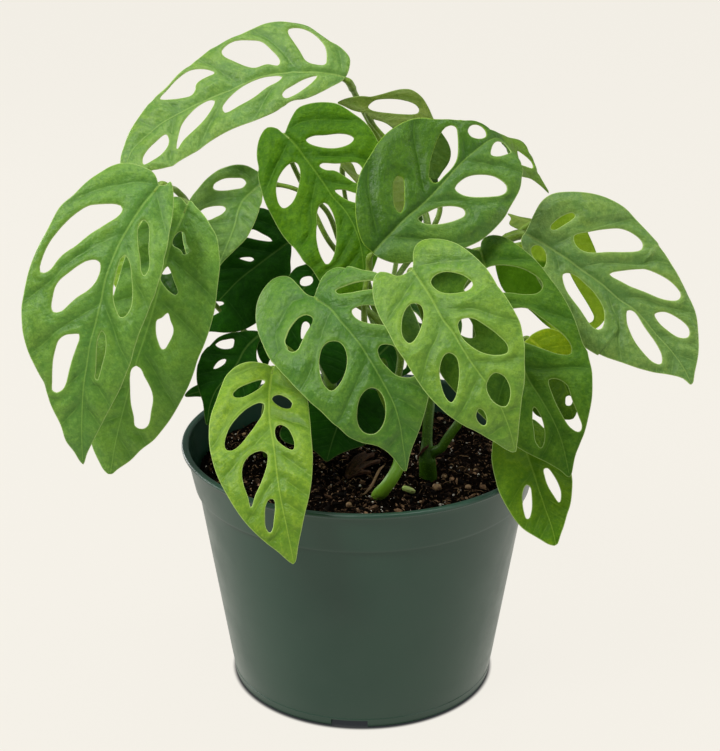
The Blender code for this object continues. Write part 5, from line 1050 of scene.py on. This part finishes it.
# -------------------------------------------------------------------- stalks
for key, (stem, where, via, r0, r1) in STALKS.items():
    blade = blades[key]
    m, t, n = blade.m[0], blade.t[0], blade.n[0]
    mids = [at(*q) for q in via]
    near = unit(m - mids[-1])
    end = [m - n * (r1 * 1.15 + 0.9) - t * 3.0 * max(0.0, float(near @ t)), m - n * (r1 * 1.15 + 0.2) + t * 0.4,
           m - n * (r1 * 0.55 + 0.1) + t * 4.0]
    if stem is None:
        foot = at_z(where[0], where[1], SOIL_TOP + 0.35)
        head = [foot - np.array((0, 0, 3.0)), foot]
    else:
        c, rr = lines[stem]
        i = int(round(where * 40))
        r = rr[0] + (rr[1] - rr[0]) * where
        up = unit(c[min(i + 1, 40)] - c[max(i - 1, 0)])
        if where > 0.97:
            head = [c[39] + up * 0.5, c[40] + up * 4.0]
        else:
            out = mids[0] - c[i]
            out = unit(out - (out @ up) * up)
            foot = c[i] + out * (r * 0.55)
            head = [foot - up * 1.5, c[i] + out * (r + r0 + 0.3) + up * 5.0]
    pts = head + mids + end
    size = sum(np.linalg.norm(b - a) for a, b in zip(pts, pts[1:]))
    k = lambda mm: 1 - mm / size
    if key == "06":
        r1 = 1.15
    prof = [(0, r0 * 1.45), (min(0.3, 7 / size), r0 * 1.2), (min(0.4, 14 / size), r0), (k(16), r1),
            (k(12.5), r1 * 1.26), (k(7), r1 * 1.26), (k(4.4), r1 * 1.0), (1, r1 * 0.45)]
    prof = sorted(prof, key=lambda q: q[0])
    rings = [(k(12.8), 0.10 * r1, 0.7), (k(9.6), 0.05 * r1, 0.45), (k(7.8), 0.05 * r1, 0.45)]
    ob = sweep("petiole_%s_skin" % key, pts, prof, 14, 0.9, STALK_LOOK, channel=0.16, rings=rings)
    worn(ob, "petiole_" + key, "petiole_green")

# ----------------------------------------------------------------------- pot
def pot_profile():
    p = [(0, 0.9), (40, 0.9), (52, 0.9), (56.0, 0.35), (58.4, 0.05), (59.35, 0.12), (60.1, 0.55), (60.45, 1.25)]
    wall = lambda z: 60.45 + (WALL_TOP_RADIUS - 60.45) * (z - 1.0) / (BAND_BOTTOM - 1.0)
    p += [(wall(2.6), 2.6), (wall(4.3), 4.3), (wall(4.7) + 0.02, 4.7), (wall(4.95) - 0.16, 4.95), (wall(5.5) - 0.16, 5.5)]
    p += [(wall(z) - 0.16 * max(0, 1 - (z - 5.5) / 6), z) for z in np.linspace(8, BAND_BOTTOM - 1.2, 26)]
    p += [(wall(BAND_BOTTOM - 0.5) + 0.02, BAND_BOTTOM - 0.5), (wall(BAND_BOTTOM - 0.2) + 0.22, BAND_BOTTOM - 0.12),
          (76.45, BAND_BOTTOM + 0.02), (76.78, BAND_BOTTOM + 0.18), (76.93, BAND_BOTTOM + 0.55)]
    band = lambda z: 76.93 + (80.5 - 76.93) * (z - BAND_BOTTOM - 0.5) / (17.1)
    p += [(band(z), z) for z in np.linspace(BAND_BOTTOM + 1.4, POT_HEIGHT - 3.2, 8)]
    p += [(80.55, POT_HEIGHT - 2.6), (80.8, POT_HEIGHT - 2.15), (81.4, POT_HEIGHT - 1.95), (82.05, POT_HEIGHT - 1.8),
          (82.42, POT_HEIGHT - 1.45), (82.5, POT_HEIGHT - 0.95), (82.38, POT_HEIGHT - 0.45), (82.05, POT_HEIGHT - 0.12),
          (81.5, POT_HEIGHT), (80.3, POT_HEIGHT), (79.75, POT_HEIGHT - 0.1), (79.35, POT_HEIGHT - 0.45), (79.15, POT_HEIGHT - 1.1)]
    p += [(79.1 - 3.6 * f, POT_HEIGHT - 1.6 - 17.0 * f) for f in np.linspace(0, 1, 8)]
    p += [(75.2, BAND_BOTTOM + 0.9), (74.4, BAND_BOTTOM - 0.1), (74.0, BAND_BOTTOM - 1.2)]
    p += [(74.0 - 14.9 * f, BAND_BOTTOM - 1.2 - 92.5 * f) for f in np.linspace(0.1, 1, 9)]
    p += [(58.4, 2.3), (57.0, 2.0), (40, 2.0), (0, 2.0)]
    return p


def lathe(name, profile, n, mats):
    verts, faces, rings = [], [], []
    for r, z in profile:
        if r < 1e-6:
            rings.append([len(verts)])
            verts.append((0.0, 0.0, z))
        else:
            rings.append(list(range(len(verts), len(verts) + n)))
            w = 2 * math.pi * (np.arange(n) + 0.5) / n
            verts += np.stack((r * np.cos(w), r * np.sin(w), np.full(n, z)), -1).tolist()
    for a, b in zip(rings, rings[1:]):
        for k in range(n):
            j = (k + 1) % n
            if len(a) == 1:
                faces.append((a[0], b[j], b[k]))
            elif len(b) == 1:
                faces.append((a[k], a[j], b[0]))
            else:
                faces.append((a[k], a[j], b[j], b[k]))
    return add_mesh(name, verts, faces, mats)


k = Look("pot_plastic_skin")
grain = k.noise(2600.0, 2.0, 0.5)
cloud = k.noise(16.0, 3.0, 0.5)
smear = k.noise(60.0, 4.0, 0.6)
base = k.mix(k.span(cloud, 0.3, 0.7), (0.0110, 0.0430, 0.0255), (0.0160, 0.0520, 0.0310))
base = k.mix(k.span(smear, 0.35, 0.75, 0.0, 0.4), base, (0.0210, 0.0510, 0.0340))
dust = k.noise(900.0, 2.0, 0.5)
base = k.mix(k.span(dust, 0.70, 0.82, 0.0, 0.22), base, (0.10, 0.12, 0.10))
normal = k.bump(grain, 0.10, 0.00008)
POT_LOOK = k.surface(base, k.span(smear, 0.3, 0.75, 0.30, 0.40), normal, 0.42)

pot = lathe("pot_shell", pot_profile(), 256, [POT_LOOK])
bm = bmesh.new()
bm.from_mesh(pot.data)
bmesh.ops.recalc_face_normals(bm, faces=bm.faces)
bm.to_mesh(pot.data)
bm.free()
DRAINS, DRAIN_START = 3, math.radians(-95.6)
cutters = []
for i in range(DRAINS):
    a = DRAIN_START + i * 2 * math.pi / DRAINS
    verts = []
    for z in (-4.0, 3.95):
        for x in (50.0, 66.0):
            for y in (-8.25, 8.25):
                verts.append((x * math.cos(a) - y * math.sin(a), x * math.sin(a) + y * math.cos(a), z))
    faces = [(0, 1, 3, 2), (4, 6, 7, 5), (0, 4, 5, 1), (2, 3, 7, 6), (0, 2, 6, 4), (1, 5, 7, 3)]
    cut = add_mesh("drain_cut_%d" % i, verts, faces, [POT_LOOK], smooth=False)
    m = pot.modifiers.new("drain_%d" % i, "BOOLEAN")
    m.operation, m.object, m.solver = "DIFFERENCE", cut, "EXACT"
    cutters.append(cut)
bpy.context.view_layer.update()
shape = bpy.data.meshes.new_from_object(pot.evaluated_get(bpy.context.evaluated_depsgraph_get()))
pot.modifiers.clear()
pot.data = shape
for cut in cutters:
    bpy.data.objects.remove(cut, do_unlink=True)
shape.polygons.foreach_set("use_smooth", np.ones(len(shape.polygons), bool))
shape.set_sharp_from_angle(angle=math.radians(38))
worn(pot, "pot", "pot_plastic")

# --------------------------------------------------------------- potting mix
def ground(x, y):
    """Height of the mix, mm."""
    r = np.hypot(x, y)
    z = SOIL_TOP - 0.6 + 1.9 * (ripple(x / 15.0, y / 15.0, 1) - 0.5) + 1.5 * (ripple(x / 5.0, y / 5.0, 2) - 0.5)
    z = z + 1.3 * (ripple(x / 1.9, y / 1.9, 5) - 0.5) + 0.7 * (ripple(x / 0.9, y / 0.9, 9) - 0.5)
    return z - 1.8 * np.clip((r - 62) / 14, 0, 1)


k = Look("mix_bed")
crumb = k.noise(420.0, 5.0, 0.7)
clod = k.noise(120.0, 3.0, 0.6)
base = k.mix(k.span(crumb, 0.38, 0.66), (0.0015, 0.0011, 0.0009), (0.0080, 0.0048, 0.0032))
base = k.mix(k.span(clod, 0.4, 0.7, 0.0, 0.5), base, (0.0030, 0.0021, 0.0015))
BED = k.surface(base, 0.9, k.bump(crumb, 0.8, 0.0012), 0.0)

radii = np.r_[np.linspace(0, 74.6, 95)]
turns = 300
verts, rings = [(0.0, 0.0, float(ground(0.0, 0.0)))], [[0]]
for r in radii[1:]:
    w = 2 * math.pi * np.arange(turns) / turns
    x, y = r * np.cos(w), r * np.sin(w)
    rings.append(list(range(len(verts), len(verts) + turns)))
    verts += np.stack((x, y, ground(x, y)), -1).tolist()
for r, z in ((74.4, BAND_BOTTOM + 0.5), (73.2, BAND_BOTTOM - 1.4), (58.2, 7.5), (46.0, 2.4)):
    w = 2 * math.pi * np.arange(turns) / turns
    rings.append(list(range(len(verts), len(verts) + turns)))
    verts += np.stack((r * np.cos(w), r * np.sin(w), np.full(turns, z)), -1).tolist()
rings.append([len(verts)])
verts.append((0.0, 0.0, 2.4))
faces = []
for a, b in zip(rings, rings[1:]):
    for i in range(turns):
        j = (i + 1) % turns
        if len(a) == 1:
            faces.append((a[0], b[i], b[j]))
        elif len(b) == 1:
            faces.append((a[i], b[0], a[j]))
        else:
            faces.append((a[i], b[i], b[j], a[j]))
worn(add_mesh("mix_bed", verts, faces, [BED]), "soil", "potting_mix")


def tossed(rand, tilt):
    """A random turn that keeps a shard mostly flat."""
    a = rand.uniform(0, 2 * math.pi)
    p, q = rand.normal(0, tilt, 2)
    ca, sa = math.cos(a), math.sin(a)
    rz = np.array(((ca, -sa, 0), (sa, ca, 0), (0, 0, 1)))
    rx = np.array(((1, 0, 0), (0, math.cos(p), -math.sin(p)), (0, math.sin(p), math.cos(p))))
    ry = np.array(((math.cos(q), 0, math.sin(q)), (0, 1, 0), (-math.sin(q), 0, math.cos(q))))
    return rz @ rx @ ry


def scatter(name, count, low, high, flat, tilt, mat, sink, seed, slim=1.0, reach=72.0):
    """Many irregular shards lying in the mix, as one mesh."""
    rand = np.random.default_rng(seed)
    u = (1 + math.sqrt(5)) / 2
    ball = unit(np.array([(-1, u, 0), (1, u, 0), (-1, -u, 0), (1, -u, 0), (0, -1, u), (0, 1, u), (0, -1, -u), (0, 1, -u),
                          (u, 0, -1), (u, 0, 1), (-u, 0, -1), (-u, 0, 1)]))
    tri = [(0, 11, 5), (0, 5, 1), (0, 1, 7), (0, 7, 10), (0, 10, 11), (1, 5, 9), (5, 11, 4), (11, 10, 2), (10, 7, 6), (7, 1, 8),
           (3, 9, 4), (3, 4, 2), (3, 2, 6), (3, 6, 8), (3, 8, 9), (4, 9, 5), (2, 4, 11), (6, 2, 10), (8, 6, 7), (9, 8, 1)]
    verts, faces, tone = [], [], []
    for i in range(count):
        r = reach * math.sqrt(rand.uniform(0, 1))
        w = rand.uniform(0, 2 * math.pi)
        x, y = r * math.cos(w), r * math.sin(w)
        big = low * (high / low) ** (rand.uniform(0, 1) ** 1.8)
        dims = np.array((big, big * slim * rand.uniform(0.45, 1.0), big * flat * rand.uniform(0.6, 1.2))) / 2
        q = ball * dims * rand.uniform(0.72, 1.28, (12, 1)) + rand.normal(0, 0.05, (12, 3)) * dims
        q = q @ tossed(rand, tilt).T
        z = float(ground(x, y)) + dims[2] * (1 - sink)
        q = q + (x, y, z)
        far = np.hypot(q[:, 0], q[:, 1]).max()
        if far > 74.3:
            q[:, :2] *= 74.0 / far
        b = 12 * i
        verts.append(q)
        faces += [(b + f[0], b + f[1], b + f[2]) for f in tri]
        tone += [rand.uniform(0, 1)] * 12
    return worn(add_mesh(name, np.vstack(verts), faces, [mat], smooth=False, attrs={"tone": tone}), None, "potting_mix")


def shard_look(name, stops, rough, grain_scale, depth):
    k = Look(name)
    tone = k.attr("tone")
    base = stops[0][1]
    for (lo, _), (hi, col) in zip(stops, stops[1:]):
        base = k.mix(k.span(tone, lo, hi), base, col)
    g = k.noise(grain_scale, 4.0, 0.65)
    base = k.mix(k.span(g, 0.35, 0.7, 0.0, 0.7), base, (0.003, 0.002, 0.0015))
    return k.surface(base, rough, k.bump(g, 0.6, depth), 0.05)


BARK = shard_look("bark_shards", [(0.0, (0.0018, 0.0012, 0.0009)), (0.55, (0.007, 0.0040, 0.0025)), (0.80, (0.065, 0.034, 0.018)), (1.0, (0.34, 0.200, 0.110))], 0.75, 700.0, 0.0006)
CRUMB = shard_look("mix_crumbs", [(0.0, (0.0015, 0.0010, 0.0008)), (0.62, (0.007, 0.004, 0.0026)), (0.86, (0.085, 0.045, 0.024)), (1.0, (0.36, 0.220, 0.130))], 0.8, 1300.0, 0.0004)
k = Look("perlite_grains")
g = k.noise(1500.0, 3.0, 0.6)
PERLITE = k.surface(k.mix(k.span(g, 0.3, 0.7), (0.40, 0.34, 0.27), (0.72, 0.68, 0.60)), 0.85, k.bump(g, 0.5, 0.0003), 0.3)
scatter("bark_shards", 1700, 1.6, 5.6, 0.38, 0.40, BARK, 0.50, 21, slim=0.55)
scatter("mix_crumbs", 7500, 0.6, 2.0, 0.55, 0.7, CRUMB, 0.25, 22, slim=0.7)
scatter("perlite_grains", 420, 0.5, 1.5, 0.8, 0.6, PERLITE, 0.2, 23, reach=73.0)


def strands(name, count, low, high, mat, seed):
    """Short fibres lying over the mix."""
    rand = np.random.default_rng(seed)
    verts, faces, tone = [], [], []
    for i in range(count):
        r, w = 71 * math.sqrt(rand.uniform(0, 1)), rand.uniform(0, 2 * math.pi)
        x, y, a = r * math.cos(w), r * math.sin(w), rand.uniform(0, 2 * math.pi)
        size, bend, rad = rand.uniform(low, high), rand.normal(0, 0.35), rand.uniform(0.09, 0.20)
        f = np.linspace(-0.5, 0.5, 6)
        cx = x + np.cos(a + bend * f) * f * size
        cy = y + np.sin(a + bend * f) * f * size
        far = np.hypot(cx, cy)
        cx, cy = cx * np.minimum(1, 73.5 / far), cy * np.minimum(1, 73.5 / far)
        cz = float(ground(x, y)) + 0.9 + rand.uniform(-0.3, 1.0) + rand.normal(0, 0.6) * f + 0.5 * np.cos(f * 3)
        c = np.stack((cx, cy, cz), -1)
        t = unit(np.gradient(c, axis=0))
        s = unit(np.cross(t, (0, 0, 1)))
        u = np.cross(s, t)
        b = len(tone)
        for j in range(6):
            rr = rad * (1 - 0.6 * abs(f[j]) * 2)
            for e in range(4):
                verts.append(c[j] + rr * (math.cos(e * math.pi / 2) * s[j] * 1.4 + math.sin(e * math.pi / 2) * u[j]))
        for j in range(5):
            for e in range(4):
                p, q = b + j * 4 + e, b + j * 4 + (e + 1) % 4
                faces.append((p, q, q + 4, p + 4))
        faces += [(b + 3, b + 2, b + 1, b), (b + 20, b + 21, b + 22, b + 23)]
        tone += [rand.uniform(0, 1)] * 24
    return worn(add_mesh(name, verts, faces, [mat], attrs={"tone": tone}), None, "potting_mix")


FIBRE = shard_look("fibre_strands", [(0.0, (0.012, 0.007, 0.004)), (0.5, (0.060, 0.034, 0.018)), (1.0, (0.36, 0.225, 0.12))], 0.6, 900.0, 0.0002)
strands("fibre_strands", 1100, 1.2, 4.2, FIBRE, 24)


def on_mix(u, v, lift=0.6):
    p = at_z(u, v, SOIL_TOP)
    return np.array((p[0], p[1], float(ground(p[0], p[1])) + lift))


# a dry stick, a papery husk, pale bark chips and a cut green stub on the mix
DRY = stalk_look("dry_stick", (0.15, 0.085, 0.035), (0.26, 0.16, 0.075), 0.75)
ob = sweep("dry_stick", [on_mix(364, 496, 1.0), on_mix(372, 484, 1.8), on_mix(379, 474, 2.2), on_mix(384, 468, 1.6)],
           [(0, 0.35), (0.3, 0.75), (0.8, 0.65), (1, 0.3)], 8, 0.7, DRY)
worn(ob, None, "potting_mix")
ob = sweep("green_stub", [on_mix(402.5, 489, 0.8), on_mix(408.5, 490.5, 1.5), on_mix(414.5, 492, 1.0)],
           [(0, 0.7), (0.15, 1.35), (0.8, 1.35), (1, 0.9)], 12, 0.4,
           stalk_look("stub_skin", (0.30, 0.42, 0.09), (0.42, 0.50, 0.16), 0.5))
worn(ob, None, "potting_mix")


def flake(name, strips, mat):
    """A fan of thin curled strips: each is root, tip, width and curl."""
    verts, faces = [], []
    for root, tip, wide, curl in strips:
        root, tip = np.asarray(root, float), np.asarray(tip, float)
        run = tip - root
        side = unit(np.cross(run, (0, 0, 1)))
        b = len(verts)
        rows, cols = 12, 5
        for lay in (0.0, -0.25):
            for i in range(rows):
                f = i / (rows - 1)
                w = wide * (math.sin(math.pi * (0.12 + 0.86 * f)) ** 0.7)
                for j in range(cols):
                    g = (j / (cols - 1) - 0.5)
                    z = curl * math.sin(math.pi * f) + 1.3 * wide * g * g * 2 + 0.22 * math.sin(9 * f + 5 * g) + lay
                    verts.append(root + run * f + side * (g * w) + np.array((0, 0, z)))
        n = rows * cols
        for i in range(rows - 1):
            for j in range(cols - 1):
                p = b + i * cols + j
                faces.append((p, p + 1, p + cols + 1, p + cols))
                faces.append((p + n, p + n + cols, p + n + cols + 1, p + n + 1))
        ring = [i * cols for i in range(rows)] + [(rows - 1) * cols + j for j in range(1, cols)]
        ring += [i * cols + cols - 1 for i in range(rows - 2, -1, -1)] + [j for j in range(cols - 2, 0, -1)]
        for p, q in zip(ring, ring[1:] + ring[:1]):
            faces.append((b + p, b + q, b + q + n, b + p + n))
    return worn(add_mesh(name, verts, faces, [mat]), None, "potting_mix")


k = Look("husk_paper")
g = k.noise(160.0, 4.0, 0.65)
s = k.noise(900.0, 3.0, 0.6)
HUSK = k.surface(k.mix(k.span(s, 0.4, 0.65), k.mix(k.span(g, 0.3, 0.7), (0.075, 0.034, 0.018), (0.21, 0.10, 0.048)), (0.05, 0.022, 0.012)),
                 0.6, k.bump(s, 0.6, 0.0005), 0.4)
hub = on_mix(347, 476, 0.8)
flake("dry_husk", [
    (hub, on_mix(366, 459, 2.6), 3.2, 2.0), (hub + (0.4, -0.5, 0.3), on_mix(374, 461, 2.2), 3.4, 2.2),
    (hub + (0.8, -1.0, 0.2), on_mix(380, 466, 1.4), 3.0, 1.6), (hub + (0.2, -1.4, 0.0), on_mix(371, 474, 1.0), 3.0, 1.2),
    (hub + (-0.5, 0.4, 0.1), on_mix(356, 461, 1.6), 2.4, 1.0)], HUSK)

k = Look("pale_bark")
g = k.noise(500.0, 4.0, 0.65)
TAN = k.surface(k.mix(k.span(g, 0.35, 0.68), (0.30, 0.19, 0.09), (0.10, 0.05, 0.025)), 0.7, k.bump(g, 0.6, 0.0005), 0.35)


def pebbles(name, places, mat, seed):
    """Rounded chips at set places: drawing point and size in mm."""
    rand = np.random.default_rng(seed)
    verts, faces = [], []
    for u, v, size in places:
        c = on_mix(u, v, size * 0.25)
        rows, cols = 7, 10
        b = len(verts)
        turn = tossed(rand, 0.25)
        wob = rand.uniform(0.85, 1.15, (rows, cols))
        verts.append(c + turn @ (np.array((0, 0, size * 0.36))))
        for i in range(1, rows):
            th = math.pi * i / rows
            for j in range(cols):
                ph = 2 * math.pi * j / cols
                q = np.array((math.sin(th) * math.cos(ph) * 0.5, math.sin(th) * math.sin(ph) * 0.38, math.cos(th) * 0.36 - 0.10 * math.exp(-8 * th * th)))
                verts.append(c + turn @ (q * size * wob[i, j]))
        verts.append(c - turn @ (np.array((0, 0, size * 0.36))))
        for j in range(cols):
            faces.append((b, b + 1 + j, b + 1 + (j + 1) % cols))
            e = b + 1 + (rows - 2) * cols
            faces.append((e + (j + 1) % cols, e + j, b + 1 + (rows - 1) * cols))
        for i in range(rows - 2):
            for j in range(cols):
                p, q = b + 1 + i * cols + j, b + 1 + i * cols + (j + 1) % cols
                faces.append((p, p + cols, q + cols, q))
    return worn(add_mesh(name, verts, faces, [mat]), None, "potting_mix")


pebbles("pale_bark", [(437, 489, 4.6), (468, 487.5, 3.4), (349, 506, 3.6), (444, 475, 3.0), (421, 500, 2.2), (232, 470, 3.0),
                      (218, 455, 2.6), (476, 470, 2.4), (330, 487, 2.2), (244, 432, 2.4)], TAN, 31)

# a dried sheath scrap at the fork of the stems
c = lines["stem_main"][0]
SCRAP = [(c[5] + np.array((-4.4, -1.5, 0.5)), c[9] + np.array((0.5, -4.9, 1.0)), 2.6, 0.6)]
flake("sheath_scrap", SCRAP, HUSK)

# --------------------------------------------------------------------- stage
def sheet(name, size, z, mat):
    ob = add_mesh(name, [(-size, -size, z), (size, -size, z), (size, size, z), (-size, size, z)], [(0, 1, 2, 3)], [mat], smooth=False)
    return ob


FLOOR_RGB = (0.905, 0.871, 0.799)
GLOW = 0.97
k = Look("studio_floor")
d = k.add("ShaderNodeBsdfDiffuse")
d.inputs[0].default_value = (*[c * FLOOR_GAIN for c in FLOOR_RGB], 1.0)
e = k.add("ShaderNodeEmission")
place = k.add("ShaderNodeVectorMath", operation="LENGTH")
k.link(k.add("ShaderNodeTexCoord").outputs["Object"], place.inputs[0])
# painted contact shadow: the floor's glow turns near-black under the pot's foot and fades back in a thin ring round it
near = k.span(place.outputs["Value"], 0.0600, 0.0624)
k.link(k.mix(near, (0.030, 0.033, 0.036), FLOOR_RGB), e.inputs[0])
m = k.add("ShaderNodeMixShader")
m.inputs[0].default_value = GLOW
k.link(d.outputs[0], m.inputs[1])
k.link(e.outputs[0], m.inputs[2])
k.link(m.outputs[0], k.out.inputs[0])
sheet("studio_floor", 9000.0, -0.15, k.m)

scene = bpy.context.scene
scene.view_settings.view_transform = "Standard"
scene.view_settings.look = "None"
world = bpy.data.worlds.new("studio")
scene.world = world
world.use_nodes = True
bg = world.node_tree.nodes["Background"]
bg.inputs[0].default_value = (1.0, 1.0, 1.0, 1.0)
bg.inputs[1].default_value = WORLD


def softbox(name, place, aim, size, power, tint=(1, 1, 1)):
    lamp = bpy.data.lights.new(name, "AREA")
    lamp.shape, lamp.size, lamp.size_y = "RECTANGLE", size[0], size[1]
    lamp.energy, lamp.color = power, tint
    ob = bpy.data.objects.new(name, lamp)
    scene.collection.objects.link(ob)
    ob.location = place
    ob.rotation_euler = (Vector(aim) - Vector(place)).to_track_quat("-Z", "Y").to_euler()
    return ob


for args in LIGHTS:
    softbox(*args)

camera = bpy.data.cameras.new("view")
camera.lens, camera.sensor_width, camera.sensor_fit = LENS, 36.0, "AUTO"
camera.clip_end = 50.0
eye = bpy.data.objects.new("view", camera)
scene.collection.objects.link(eye)
eye.location = EYE * MM
eye.rotation_euler = (math.pi / 2 - PITCH, 0.0, 0.0)
scene.camera = eye
